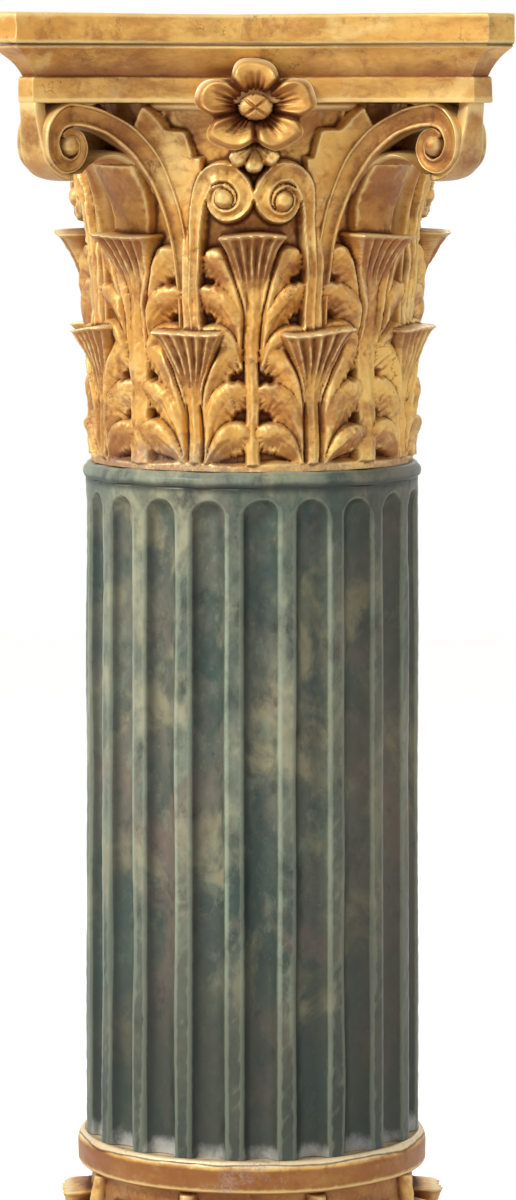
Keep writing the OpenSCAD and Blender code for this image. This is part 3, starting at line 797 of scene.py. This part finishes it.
def carved_drum(name, columns, heights, relief_at, tone_at, radius, z0, seed, drift, material, slot, shares):
    """A drum of carving: relief on a grid round the column, with a hand carver's unevenness."""
    theta = (np.arange(columns) + 0.5) * TURN / columns - math.pi
    quarter = columns // 4
    local = (np.arange(quarter) + 0.5) * TURN / columns - math.pi / 4
    tl, zl = np.meshgrid(local, heights)
    each = (relief_at(tl, zl), tone_at(tl, zl))
    h, tone = (np.roll(np.tile(x, (1, 4)), quarter // 2, axis=1) for x in each)
    t, z = np.meshgrid(theta, heights)
    sway, lift = Waves(seed, 14, 9, 70), Waves(seed + 1, 14, 12, 60)
    lump, tool = Waves(seed + 2, 30, 50, 22), Waves(seed + 3, 60, 170, 7)
    r = radius(z) + h * (1 + 0.03 * sway(t, z)) + 0.45 * lump(t, z) * smooth(h / 4) + 0.16 * tool(t, z)
    held = smooth((z - heights[0]) / 8) * smooth((heights[-1] - z) / 6)
    theta_out = t + drift(t) + sway(t, z) / REF_R
    z_out = z + 1.1 * lift(t, z) * held
    v = around(theta_out, r, z0 + z_out).reshape(-1, 3)
    f = strip(len(heights), columns)
    # ease the steep cuts so that their walls stay even
    mean = neighbour_mean(f, len(v))
    gy, gx = np.gradient(r)
    steep = smooth((np.hypot(gy, gx) - 0.8) / 2.0).ravel()[:, None]
    for _ in range(2):
        v = v + (mean(v) - v) * 0.5 * steep
    column = np.arange(len(f)) % columns
    seams = [(f"{name}_{k}", np.where(column // (columns // shares) == k)[0]) for k in range(shares)]
    drifted = hump(t.ravel() + 0.6, 0.4)
    foot = smooth((16 - (v[:, 2] - z0)) / 18) + 1.3 * drifted * smooth((36 - (v[:, 2] - z0)) / 30)
    up = smooth((mesh_normals(v, f)[:, 2] - 0.45) / 0.35)
    # painted shade: the bare ground between the carving is browner, less so behind the flowers; raised faces
    # that look up are paler
    ground = smooth((5 - h.ravel()) / 4) * (v[:, 2] - z0 > 11) * (1 - 0.8 * smooth((v[:, 2] - z0 - 205) / 20))
    tone = mix(mix(tone.ravel(), -0.8, ground), 0.8, up * smooth((h.ravel() - 14) / 6))
    make(name, v, f, material, slot, seams=seams, marks={"dust": foot, "tone": tone})


def drift_of(knots):
    angles = np.radians(sorted(knots))
    values = np.radians([knots[k] for k in sorted(knots)])
    return lambda t: np.interp(np.mod(t + math.pi, TURN) - math.pi, angles, values)


CAP_DRIFT = drift_of({
    -180: 0.0, -157.5: 0.8, -135: -0.6, -112.5: 0.5, -90: 0.3, -67.5: 2.0, -45: 1.6, -22.5: 1.8, 0: 0.2,
    22.5: -1.2, 45: -0.6, 67.5: -0.8, 90: 0.5, 112.5: -0.9, 135: 0.7, 157.5: -0.5, 180: 0.0,
})
drum_rows = np.linspace(0, BELL_H, 272)
carved_drum(
    "bell", 840, drum_rows, capital_relief, capital_tone, bell_r, CAP_Z, 11, CAP_DRIFT,
    gilt, "gilt_carving", 4
)

# ---------------------------------------------------------------- corner scrolls

VOLUTE_R, VOLUTE_BAND = 34.0, 0.55
VOLUTE_RHO = CORNER_RHO - 31 - VOLUTE_R * math.exp(-0.22)
VOLUTE_Z = BELL_H - VOLUTE_R
VOLUTE_FACE = 18.0
STALK_A = math.pi / 8


def corner_point(rho, across, z):
    """Point in the axes of the corner between the -Y and +X faces: out, across towards -Y, and up."""
    s = math.sin(math.pi / 4)
    return np.array([(rho - across) * s, -(rho + across) * s, z])


def volute_sections():
    turns = np.linspace(0, TURN * 1.12, 62)
    size = VOLUTE_R * np.exp(-SPIRAL * turns)
    middle = size * (1 - VOLUTE_BAND / 2)
    face = np.full(len(turns), VOLUTE_FACE)
    curl = np.stack([VOLUTE_RHO + middle * np.sin(turns), face, VOLUTE_Z + middle * np.cos(turns)], -1)
    a = STALK_A - math.radians(2.2)
    rise_steps = 46
    foot = BELL_FOOT_R + 12.5
    out, across = foot * math.cos(a), foot * math.sin(a)
    crest = VOLUTE_Z + middle[0]
    rise = bezier((
        (out, across, 98),
        (out - 3, across + 1, BELL_H - 62),
        (mix(out, VOLUTE_RHO, 0.45), mix(across, VOLUTE_FACE, 0.55), crest),
        (VOLUTE_RHO, VOLUTE_FACE, crest),
    ), rise_steps)[:-1]
    t = np.linspace(0, 1, rise_steps)[:-1]
    line = np.concatenate([rise, curl])
    half = np.concatenate([mix(6.4, size[0] * VOLUTE_BAND / 2, smooth(t * 1.3)), size * VOLUTE_BAND / 2])
    facing = np.concatenate([mix(STALK_A, math.pi / 2, smooth(t)), 0 * turns + math.pi / 2])
    depth = np.concatenate([mix(15.0, VOLUTE_FACE, t), face - 0.5])
    return line, half, facing, depth


def volute():
    """The band of one corner scroll, from the stalk's foot to its eye."""
    line, half, facing, depth = volute_sections()
    across = np.array([-1, -0.97, -0.84, -0.68, -0.56, -0.3, 0.0, 0.3, 0.52, 0.66, 0.8, 0.95, 1.0])
    raised = np.array([-2.4, -0.6, 0.6, 0.2, -1.4, -1.9, -1.7, -0.9, -0.4, -0.9, 0.7, -0.2, -2.4])
    wobble = 0.35 * np.sin(np.arange(len(line)) * 0.31) + 0.2 * np.sin(np.arange(len(line)) * 0.83 + 1)
    rings = []
    for i, d in enumerate(headings(line)):
        front = np.array([math.cos(facing[i]), math.sin(facing[i]), 0])
        wide = np.cross(d, front)
        wide = wide / np.linalg.norm(wide) * (half[i] + wobble[i])
        scale = min(1.0, half[i] / 5)
        ring = [line[i] + wide * x + front * y * scale for x, y in zip(across, raised)]
        ring += [line[i] + wide - front * y for y in (3.6, 7.0, depth[i] - 0.2)]
        ring += [line[i] + wide * x - front * depth[i] for x in (0.3, -0.3)]
        ring += [line[i] - wide - front * y for y in (depth[i] - 0.2, 7.0, 3.6)]
        rings.append([corner_point(*p) for p in ring])
    return tube(rings)


def dome(centre, axis, radius, height, depth):
    """A low boss: a dome on a short drum."""
    rings, sides = 7, 20
    axis = np.asarray(axis, float) / np.linalg.norm(axis)
    side = np.cross(axis, (0, 0, 1.0))
    side = side / np.linalg.norm(side)
    up = np.cross(side, axis)
    profile = [(radius, -depth)] + [
        (radius * math.cos(x), height * math.sin(x)) for x in np.linspace(0, math.pi / 2 * 0.97, rings)
    ]
    out = []
    for r, h in profile:
        a = np.arange(sides) * TURN / sides
        out.append(centre + axis * h + np.outer(np.cos(a) * r, side) + np.outer(np.sin(a) * r, up))
    return tube(out)


def corner_scroll():
    eye = corner_point(VOLUTE_RHO, VOLUTE_FACE, VOLUTE_Z)
    axis = corner_point(0, 1, 0)
    boss = dome(eye - axis * 3.0, axis, 8.2, 8.0, 10)
    between_turns = dome(eye - axis * 7.5, axis, 17.0, 1.0, 8)
    return join([volute(), boss, between_turns])


def corner_section(middle, out, w, outline):
    """One section across a corner piece: its outline is given in half widths and in lift."""
    return [corner_point(middle[0] + out[0] * lift, w * x, middle[1] + out[1] * lift) for x, lift in outline]


def support():
    """Tongue of the leaf that carries a corner scroll: it curls out and over under it."""
    root = bell_r(200)
    line = bezier(((root + 10, 226), (root + 20, 250), (VOLUTE_RHO - 34, 268), (VOLUTE_RHO - 8, 243)), 22)
    rings = []
    for i, d in enumerate(headings(line)):
        t = i / (len(line) - 1)
        out = np.array([d[1], -d[0]])
        w = 25 * (1 - 0.12 * smooth((t - 0.5) / 0.5)) * (1 + 0.05 * math.sin(9 * t))
        thick = 12 * (1 - 0.7 * smooth((t - 0.2) / 0.8))
        ring = []
        for x in np.linspace(-1, 1, 13):
            lift = 1.4 * abs(math.cos(math.pi * 2.5 * x)) ** 0.7 - 2.2 * x * x
            ring.append((x, lift))
        ring += [(x, 3 * x * x - thick) for x in np.linspace(0.94, -0.94, 7)]
        rings.append(corner_section(line[i], out, w, ring))
    return tube(rings)


def corner_keel():
    """Flat band that carries on the clipped corner of the abacus down behind the scrolls."""
    rho = CORNER_RHO - 27.5
    fall = ((rho, BELL_H - 12), (rho - 3, BELL_H - 42), (rho - 6, BELL_H - 61), (rho - 38, BELL_H - 62))
    line = np.concatenate([[(rho + 1.5, BELL_H + 3), (rho + 1, BELL_H - 6)], bezier(fall, 20)])
    half_front = ((1, -3.0), (1, -1.2), (0.95, -0.3), (0.8, 0.0), (0.3, 0.3))
    front = [(-x, lift) for x, lift in half_front] + list(half_front[::-1])
    rings = []
    for i, d in enumerate(headings(line)):
        out = np.array([-d[1], d[0]])
        t = i / (len(line) - 1)
        w = 9.5 + 5.0 * smooth(t / 0.45) - 2.5 * smooth((t - 0.7) / 0.3)
        thick = 11 - 5 * smooth((t - 0.7) / 0.3)
        back = [(x, -thick) for x in (0.95, 0.3, -0.3, -0.95)]
        rings.append(corner_section(line[i], out, w, front + back))
    return tube(rings)


def mirror_corner(part):
    """The same piece on the other side of the corner's diagonal plane."""
    v, f = part
    return np.stack([-v[:, 1], -v[:, 0], v[:, 2]], -1), f[:, ::-1]


scroll = corner_scroll()
pieces_at_corner = [scroll, mirror_corner(scroll), support(), corner_keel()]
lean = Waves(31, 10, 5, 120)
for k in range(4):
    v, f = join(pieces_at_corner)
    v = spin(v, k)
    v[:, 2] += CAP_Z
    angle = turn_of(v)
    reach = np.hypot(v[:, 0], v[:, 1])
    shift = CAP_DRIFT(angle) * smooth((205 - reach) / 45)
    ca, sa = np.cos(shift), np.sin(shift)
    v[:, 0], v[:, 1] = v[:, 0] * ca - v[:, 1] * sa, v[:, 0] * sa + v[:, 1] * ca
    v[:, 2] += 0.8 * lean(angle + k, v[:, 2])
    browned = -0.22 - 0.3 * smooth((v[:, 2] - CAP_Z - 225) / 50)
    make(f"corner_scroll_{k}", v, f, gilt, "gilt_carving", rounds=(2, 8), marks={"tone": browned})


# ---------------------------------------------------------------- flowers


PETALS = 5
FLOWER_R, BUTTON_R, FLOWER_DROP = 46.0, 12.5, 50.0
# Creases along a petal: where across it, how deep, and how far out they run
CREASES = ((-0.46, 2.6, 0.7), (-0.15, 3.8, 0.82), (0.13, 3.4, 0.76), (0.43, 2.8, 0.72))


def flower(seed):
    """Five cupped petals round a scored button, as relief round the flower's axis."""
    sides, rings = 220, 46
    a = np.arange(sides) * TURN / sides
    s = np.concatenate([np.linspace(0.0, 0.95, rings - 10), np.linspace(0.96, 1.0, 10)])
    ag, sg = np.meshgrid(a, s)
    wave = Waves(seed, 8, 6, 1.4)
    from_first = (ag - math.pi / 2) * PETALS
    edge = (1 - 0.27 * np.abs(np.sin(from_first / 2)) ** 5.0) * (1 + 0.025 * wave(ag, 0 * ag))
    rho = FLOWER_R * edge * sg
    local = np.mod(from_first / TURN + 0.5, 1) * 2 - 1
    cup = 1 + 17 * smooth((sg - 0.12) * 1.35) ** 0.8
    roll = -7.5 * smooth((sg - 0.84) / 0.16) ** 1.5
    valley = -9.0 * hump((1 - np.abs(local)) * rho * 0.6, 2.2) * smooth((sg - 0.2) / 0.3)
    sides_up = 2.6 * hump(np.abs(local) - 0.68, 0.2) * smooth((sg - 0.35) / 0.4)
    crease = 0
    for c, depth, far in CREASES:
        width = 0.085 * (1.2 - 0.5 * sg)
        cut = depth * hump(local - c, width)
        crease = crease - cut * smooth((sg - 0.2) / 0.1) * smooth((far - sg) / 0.35)
    h = cup + roll + valley + sides_up + crease + 0.5 * wave(ag * 3, sg)
    # the button
    lump = np.clip(1 - (rho / BUTTON_R) ** 2, 0, 1)
    right, up = rho * np.cos(ag), rho * np.sin(ag)
    cross = np.minimum(np.abs(right + up), np.abs(right - up)) / math.sqrt(2)
    button = 13 + 9.5 * lump**0.5 - 2.6 * hump(cross, 1.1) * (rho < BUTTON_R)
    h = np.where(rho < BUTTON_R, button, h - 5 * hump(rho - BUTTON_R, 3.0))
    x, z = right * 1.09, up * (0.84 + 0.03 * np.sin(ag))
    front = np.stack([x, -FASCIA_FRONT - h, z], -1)
    side = np.stack([x[-1] * 0.93, np.full(sides, -FASCIA_FRONT - 2.0), z[-1] * 0.93], -1)
    back = np.stack([x[-1] * 0.8, np.full(sides, -FASCIA_FRONT + 8.0), z[-1] * 0.8], -1)
    rings = [front[i] for i in range(len(s))] + [side, back]
    v = np.concatenate(rings)
    f = strip(len(rings), sides)
    # painted shade in the cup round the button and between the petals
    between = hump((1 - np.abs(local)) * rho * 0.6, 5)
    grime = (rho > BUTTON_R) * np.maximum(smooth((0.66 - sg) / 0.4), between)
    grime = np.concatenate([grime.ravel(), np.ones(2 * sides)])
    rim = 0.8 * smooth((sg - 0.9) / 0.06) * smooth((np.sin(ag) + 0.1) / 0.4)
    rim = np.concatenate([rim.ravel(), 0.8 * smooth((np.sin(np.tile(a, 2)) + 0.1) / 0.4)])
    return v, f[:, ::-1], {"grime": grime, "tone": rim}


# How far each flower stands off the middle of its side
FLOWER_SHIFTS = (3.0, -2.0, 1.0, 2.0)
for k in range(4):
    v, f, marks = flower(40 + k)
    v[:, 2] += CAP_Z + CAP_H - FLOWER_DROP
    v[:, 0] += FLOWER_SHIFTS[k]
    make(f"flower_{k}", spin(v, k), f, gilt, "gilt_carving", rounds=(2, 8), marks=marks)


# ---------------------------------------------------------------- abacus and top board


def side_angle(d):
    """Half the turn of a side's arc; the corners are set in a little more than the sides."""
    corner = (CORNER_RHO - 1.42 * d) * math.sqrt(2)
    return math.pi / 4 + math.asin((corner - SIDE_CENTRE) / ((SIDE_R + d) * math.sqrt(2)))


def abacus_ring(d):
    """Outline of the abacus, set in by d: hollow sides and clipped corners."""
    a = np.concatenate([[-1, -0.9955], np.linspace(-0.985, 0.985, 44), [0.9955, 1]]) * side_angle(d)
    x = (SIDE_R + d) * np.sin(a)
    y = SIDE_CENTRE - (SIDE_R + d) * np.cos(a)
    face = np.stack([x, -y], -1)
    out = []
    for k in range(4):
        side = spin(face, k)
        out.append(side)
        for t in (0.04, 0.12, 0.3, 0.5, 0.7, 0.88, 0.96):
            out.append(mix(side[-1], spin(face[0], k + 1), t)[None])
    return np.concatenate(out)


def moulding(name, levels, z0, slot, seed, amount, tone):
    """A moulding along the abacus, with the unevenness of a plane worked by hand."""
    bend, fine = Waves(seed, 10, 6, 60), Waves(seed + 1, 24, 26, 14)
    rings = []
    for d, z in levels:
        ring = abacus_ring(d)
        if 0 < d < 30:
            # the hand-cut mouldings are set in less on one side
            less = abacus_ring(d * 0.62)
            ring = ring + (less - ring) * (0.5 + 0.5 * np.sin(turn_of(ring)))[:, None]
        a = turn_of(ring)
        move = amount * (0.8 * bend(a, z) + 0.3 * fine(a, z))
        length = np.hypot(ring[:, 0], ring[:, 1])
        ring = ring * (1 + np.minimum(move, 1.0) / length)[:, None]
        lift = amount * 0.9 * bend(a + 1.7, 0 * a)
        rings.append(np.stack([ring[:, 0], ring[:, 1], z0 + z + lift], -1))
    v, f = tube(rings)
    fine = relief(v, f, (2,), mesh_normals(v, f))[0]
    joint = hump(v[:, 2] - BOARD_Z, 1.6)
    fine = np.clip(fine, -1, 0.35) - 1.6 * joint
    marks = {"fine": fine, "tone": tone(v[:, 2] - z0), "sheltered": 0.3}
    make(name, v, f, gilt_plain, slot, rounds=(2, 9), marks=marks)


board_h = TOP_Z - BOARD_Z
board_levels = (
    [(26, -0.4), (12, -0.4), (2.6, -0.3), (1.2, 0.6), (0.5, 2.0)]
    + [(0.2 + 0.5 * math.sin(x * 3.1), 2.4 + (board_h - 5.5) * x) for x in np.linspace(0.08, 0.94, 12)]
    + [(0.6, board_h - 2.6), (1.4, board_h - 1.4), (3.0, board_h - 0.9)]
    + [(9, board_h - 0.7), (40, board_h - 0.7)]
)


def board_tone(z):
    """Browned along the joint under the board."""
    return -0.5 * hump(z, 4)


def abacus_tone(z):
    """A browned fascia, and a hollow with painted shade that is darkest at its foot."""
    return np.where(z < FASCIA_H - 0.5, -0.34, -0.95 + 0.9 * smooth((z - FASCIA_H - 1) / (CAVETTO_H - 4)))


moulding("abacus_board", board_levels, BOARD_Z, "gilt_board", 61, 0.7, board_tone)

foot_in = FASCIA_IN + 2.5
cavetto_top = FASCIA_H + CAVETTO_H
hollow = bezier(((foot_in, FASCIA_H + 1.5), (foot_in - 5, FASCIA_H + 13), (2.2, cavetto_top - 3)), 16)
abacus_levels = (
    [(40, 0.0), (FASCIA_IN + 2.4, 0.0), (FASCIA_IN + 1.0, 0.5), (FASCIA_IN + 0.1, 1.8)]
    + [(FASCIA_IN + 0.1, mix(1.8, FASCIA_H - 1.6, x)) for x in np.linspace(0.12, 1, 8)]
    + [(FASCIA_IN + 0.5, FASCIA_H - 0.5), (FASCIA_IN + 1.6, FASCIA_H + 0.2), (foot_in + 0.6, FASCIA_H + 0.6)]
    + [tuple(q) for q in hollow]
    + [(1.4, cavetto_top - 1.8), (2.0, cavetto_top - 0.8)]
    + [(3.4, cavetto_top), (12, cavetto_top), (60, cavetto_top)]
)
moulding("abacus_moulding", abacus_levels, CAP_Z + BELL_H, "gilt_carving", 71, 0.8, abacus_tone)

# bell's rim, a narrow ledge under the lower fascia
rim_a = np.arange(240) * TURN / 240
rim_wave = Waves(81, 10, 8, 40)
rim_profile = ((148, -6), (152, -6), (155.0, -4.8), (156.5, -2.5), (156.5, 1.5), (148, 1.5))
rim = [around(rim_a, r + 0.5 * rim_wave(rim_a, 0 * rim_a), CAP_Z + BELL_H + z) for r, z in rim_profile]
make("bell_rim", *tube(rim), gilt, "gilt_carving", rounds=(2, 8))

# ---------------------------------------------------------------- fluted shaft

FLUTES, FLUTE_W, FLUTE_D, FLUTE_TURN = 20, 30.0, 11.0, math.radians(3)
FLUTE_R = (FLUTE_W**2 / 4 + FLUTE_D**2) / (2 * FLUTE_D)
NECK_H, FLUTE_GAP = 13.0, 9.0
shaft_h = SHAFT_TOP - SHAFT_Z
flute_top = shaft_h - NECK_H - FLUTE_GAP


def shaft_mesh():
    per = 26
    columns = FLUTES * per
    base = np.array([-1, -0.8, -0.66, -0.6, -0.56, -0.5, -0.42, -0.33, -0.24, -0.15, -0.07])
    part = np.concatenate([base, [0.0], -base[::-1]])[:-1]
    share = np.linspace(0, 1, per, endpoint=False)
    part = np.interp(share, np.linspace(0, 1, len(part) + 1), np.append(part, 1.0))
    pitch = TURN / FLUTES
    theta = np.concatenate([(k + part / 2) * pitch for k in range(FLUTES)]) + FLUTE_TURN
    rows = np.concatenate([
        np.linspace(0, flute_top - 24, 130),
        np.linspace(flute_top - 22.6, flute_top + 3, 18),
        np.linspace(flute_top + 4.5, shaft_h - NECK_H - 1, 4),
    ])
    t, z = np.meshgrid(theta, rows)
    wave, lift, fine = Waves(91, 14, 24, 150), Waves(92, 12, 20, 200), Waves(93, 40, 90, 12)
    taper = mix(SHAFT_FOOT_R, SHAFT_TOP_R, z / shaft_h)
    local = np.mod((t - FLUTE_TURN) / pitch + 0.5, 1) - 0.5
    across = local * pitch * taper + 0.5 * wave(t, z)
    straight = flute_top - FLUTE_W / 2 + 1.2 * lift(t, 0 * z)
    past = np.clip(z - straight, 0, None)
    q = np.hypot(across, past)
    cut = np.sqrt(np.clip(FLUTE_R**2 - q**2, 0, None)) - (FLUTE_R - FLUTE_D)
    soft = 0.9
    cut = soft * np.log1p(np.exp(np.clip(cut / soft, -30, 30)))
    r = taper - cut + 0.25 * wave(t + 0.4, z * 0.7) + 0.1 * fine(t, z)
    land = smooth((1.6 - cut) / 2.2)
    rim = FLUTE_W / 2
    # painted highlight along the left edge of each land, fainter along its right edge
    arris = hump(across - rim - 0.8, 1.3) + 0.3 * hump(across + rim + 0.8, 1.3)
    arris = arris * smooth((straight - z) / 12)
    # painted shade on the left wall of each flute, and in a band just below the neck
    shade = 0.75 * hump(across + rim - 2.5, 3.4) * smooth((straight - z + 8) / 12)
    shade = np.maximum(shade, 0.9 * smooth((z - (shaft_h - NECK_H - 7)) / 6))
    body = around(t, r, SHAFT_Z + z)
    # neck moulding
    profile = [(-0.4, -0.6), (0.2, 0.4)]
    bead = np.linspace(0.3, math.pi * 0.82, 9)
    profile += [(0.4 + 2.0 * math.sin(x), 0.4 + 4.4 * (1 - math.cos(x))) for x in bead]
    profile += [(-0.6, 10.6), (-1.2, 12.0), (-3.5, 12.8), (-16, 12.8)]
    th = np.broadcast_to(theta, (1, columns))
    neck_z = SHAFT_TOP - NECK_H
    neck = np.concatenate([
        around(th, SHAFT_TOP_R + d + 0.25 * wave(th, 0 * th + x), neck_z + x + 0.5 * lift(th, 0 * th))
        for d, x in profile
    ])
    v = np.concatenate([body.reshape(-1, 3), neck.reshape(-1, 3)])
    rest = np.zeros((len(profile), columns))
    # on the neck: painted highlight on the roll's top and painted shade under it
    roll = smooth((np.array([x for d, x in profile]) - 1.5) / 4)[:, None] + rest
    marks = {
        "land": np.concatenate([land, rest + 0.75]).ravel(),
        "arris": np.concatenate([arris, 0.35 * roll]).ravel(),
        "grime": np.concatenate([shade, 0.9 * (1 - roll)]).ravel(),
    }
    by_foot = smooth((26 - (v[:, 2] - SHAFT_Z)) / 26)
    # height and side give the marbling painted shade towards the foot and on the +X side
    marks |= {
        "height": (v[:, 2] - SHAFT_Z) / shaft_h,
        "side": v[:, 0] / SHAFT_FOOT_R,
        "dust": by_foot * (1 - 0.8 * marks["land"]) * (1 - 0.5 * marks["grime"]),
    }
    return v, strip(len(rows) + len(profile), columns), marks


v, f, marks = shaft_mesh()
make("fluted_shaft", v, f, marbled, "faux_marble", marks=marks, rounds=(2, 12))

# ---------------------------------------------------------------- base

TORUS_D = BASE[1][0] - BASE[0][0]
TORUS_H, BAND_H = 44.0, 7.0
COLLAR_Z, COLLAR_H, COLLAR_LEAF = TORUS_H + BAND_H, 112.0, 88.0
COLLAR_OUT, COLLAR_LIP = 25.0, 31.0
RING_Z = COLLAR_Z + COLLAR_H
RING_FACE, LEDGE_H = 14.0, 13.0


def collar_r(z):
    return mix(RING_R - 2, RING_R - 14, np.clip(z / COLLAR_H, 0, 1))


def collar_relief(theta, z):
    u = REF_R * theta
    h = 0 * u
    for c in (-1, 0, 1):
        across = u - c * LEAF_PITCH
        leaf = leaf_relief(across, z, 0.0, COLLAR_LEAF, COLLAR_OUT, COLLAR_LIP, reach=1.12, foot_z=-2.0)
        h = np.maximum(h, leaf)
    for c in (-1.5, -0.5, 0.5, 1.5):
        d = np.abs(u - c * LEAF_PITCH)
        back = 7.0 * smooth((9 - d) / 2) * (z < COLLAR_H - 4)
        back = back + 2.4 * np.cos(np.clip(d / 9, 0, 1) * math.pi) * (d < 9)
        h = np.maximum(h, back * smooth((z - 2) / 3))
    return h


def collar_tone(theta, z):
    return 0 * z - 0.4


COLLAR_DRIFT = drift_of({-180: 0.0, -90: 0.7, 0: -0.4, 90: 0.6, 180: 0.0})
collar_rows = np.linspace(0, COLLAR_H, 90)
carved_drum(
    "collar", 640, collar_rows, collar_relief, collar_tone, collar_r, BASE_Z + COLLAR_Z, 121, COLLAR_DRIFT,
    gilt_base, "gilt_base", 2
)


def turned(name, profile, seed, amount, marks):
    """A turned member of the base, from its profile."""
    sides = 320
    a = np.arange(sides) * TURN / sides
    bend, fine = Waves(seed, 10, 7, 60), Waves(seed + 1, 30, 40, 12)
    rings = []
    for r, z in profile:
        rr = r + amount * (0.5 * bend(a, z + 0 * a) + 0.2 * fine(a, z + 0 * a)) - amount
        rings.append(around(a, rr, BASE_Z + z + amount * 0.5 * bend(a + 2.0, 0 * a)))
    v, f = tube(rings)
    make(name, v, f, gilt_base, "gilt_base", rounds=(2, 9), marks=marks(v))


seat = SHAFT_FOOT_R + 1
ledge_z = RING_Z + RING_FACE
round_turn = np.linspace(0.08, math.pi / 2, 26)
ledge = [(mix(seat, RING_R, math.cos(x)), ledge_z + LEDGE_H * math.sin(x)) for x in round_turn]
ring_profile = (
    [(120, RING_Z - 1), (RING_R - 3, RING_Z - 0.5), (RING_R - 0.8, RING_Z + 0.4), (RING_R, RING_Z + 1.6)]
    + [(RING_R, RING_Z + mix(1.6, RING_FACE, x)) for x in np.linspace(0.1, 1, 7)]
    + ledge
    + [(seat - 3, BASE_TOP - BASE_Z - 0.4), (seat - 12, BASE_TOP - BASE_Z - 0.4)]
)


def ring_marks(v):
    """A ledge with a painted highlight, split along its length by a fine crack, over a face with painted
    shade.
    """
    reach = np.hypot(v[:, 0], v[:, 1])
    up = v[:, 2] - BASE_Z - RING_Z - RING_FACE
    wander = Waves(133, 16, 14, 60)(turn_of(v), 0 * up)
    split = mix(seat, RING_R, 0.62) + 0.45 * wander
    crack = hump(reach - split, 0.42) * (up > 1)
    return {"tone": mix(-0.95, 0.85, smooth((up - 4) / 6)), "grime": crack, "fine": -0.9 * crack}


turned("base_ring", ring_profile, 131, 0.5, ring_marks)
torus_r = TORUS_H / 2
torus_mid = TORUS_D / 2 - torus_r
torus_turn = np.linspace(-1.35, 1.35, 26)
torus_profile = (
    [(120, 0.3), (torus_mid + 4, 0.3)]
    + [(torus_mid + torus_r * math.cos(x), torus_r + torus_r * math.sin(x)) for x in torus_turn]
    + [(RING_R + 4.2, TORUS_H - 0.2), (RING_R + 3.4, TORUS_H + 1.0)]
    + [(RING_R + 3.2, COLLAR_Z - 1.2), (RING_R + 2.2, COLLAR_Z), (120, COLLAR_Z + 1)]
)


def torus_marks(v):
    return {"tone": np.full(len(v), -0.3)}


turned("base_torus", torus_profile, 141, 0.6, torus_marks)


# ---------------------------------------------------------------- plinth


def plinth():
    w = PLINTH_W / 2
    h = BASE_Z
    levels = [(30, 0.2), (4, 0.2), (1.0, 1.0), (0.3, 3.0)]
    levels += [(0.3, mix(3, h - 6, x)) for x in np.linspace(0.1, 1, 9)]
    levels += [(0.6, h - 4.6), (2.2, h - 2.4), (4.0, h - 0.8), (6, h - 0.3), (40, h - 0.3), (100, h - 0.3)]
    n = 40
    edge = np.linspace(-1, 1, n, endpoint=False)
    wave, fine = Waves(151, 10, 5, 80), Waves(152, 26, 30, 12)
    rings = []
    for d, z in levels:
        s = w - d
        side = np.stack([edge * s, np.full(n, -s)], -1)
        corner = smooth((np.abs(edge) - 0.975) / 0.025)
        side = side * (1 - 0.006 * corner)[:, None]
        ring = np.concatenate([spin(side, k) for k in range(4)])
        a = turn_of(ring)
        move = 0.35 * wave(a, z + 0 * a) + 0.15 * fine(a, z + 0 * a) - 0.6
        ring = ring * (1 + move / np.hypot(ring[:, 0], ring[:, 1]))[:, None]
        rings.append(np.stack([ring[:, 0], ring[:, 1], np.full(len(ring), z)], -1))
    return tube(rings)


make("plinth_block", *plinth(), gilt_base, "gilt_plinth", rounds=(2, 9))

shade_each_other()
build_pieces()
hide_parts("top_board")
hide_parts("capital")
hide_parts("shaft")
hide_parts("base")
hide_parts("plinth")


# ---------------------------------------------------------------- floor, light and camera

world = bpy.data.worlds.new("studio")
bpy.context.scene.world = world
sky = Graph(world)
soft_light = sky.node("ShaderNodeBackground", Strength=0.33, Color=(1.0, 0.98, 0.95, 1))
white = sky.node("ShaderNodeBackground", Strength=1.0, Color=(1, 1, 1, 1))
choose(sky, soft_light, white, sky.node("ShaderNodeOutputWorld"))

floor_mesh = bpy.data.meshes.new("floor")
floor_corners = [(-6, -6, -0.001), (6, -6, -0.001), (6, 6, -0.001), (-6, 6, -0.001)]
floor_mesh.from_pydata(floor_corners, [], [(0, 1, 2, 3)])
floor = bpy.data.objects.new("floor", floor_mesh)
bpy.context.scene.collection.objects.link(floor)
paper = bpy.data.materials.new("floor_paper")
sheet = Graph(paper)
matt = sheet.node("ShaderNodeBsdfPrincipled", Roughness=0.9, Base__Color=(0.9, 0.9, 0.9, 1))
glow = sheet.node("ShaderNodeEmission", Strength=0.62)
lit = sheet.node("ShaderNodeAddShader")
sheet.link(matt.outputs[0], lit.inputs[0])
sheet.link(glow.outputs[0], lit.inputs[1])
choose(sheet, matt, lit, sheet.node("ShaderNodeOutputMaterial"))
floor_mesh.materials.append(paper)


def lamp(name, place, aim, size, power, colour=(1, 1, 1)):
    data = bpy.data.lights.new(name, "AREA")
    data.shape = "RECTANGLE"
    data.size, data.size_y = size
    data.energy = power
    data.color = colour
    o = bpy.data.objects.new(name, data)
    o.location = place
    o.rotation_euler = (Vector(aim) - Vector(place)).to_track_quat("-Z", "Y").to_euler()
    bpy.context.scene.collection.objects.link(o)


lamp("key", (-2.5, -1.8, 3.0), (0, 0, 0.85), (1.0, 1.0), 114, (1.0, 0.97, 0.92))
lamp("fill", (2.4, -1.6, 1.6), (0, 0, 0.8), (1.6, 1.6), 9, (1.0, 0.97, 0.95))
lamp("back", (0.6, 2.4, 2.4), (0, 0, 0.8), (1.6, 1.6), 16)

cam_data = bpy.data.cameras.new("camera")
cam_data.lens = 144.6
cam_data.sensor_width = 36
camera = bpy.data.objects.new("camera", cam_data)
camera.location = (0.005, -4.07, 1.138)
camera.rotation_euler = (math.radians(90 - 6.04), 0, 0)
bpy.context.scene.collection.objects.link(camera)
bpy.context.scene.camera = camera
bpy.context.scene.view_settings.view_transform = "Standard"
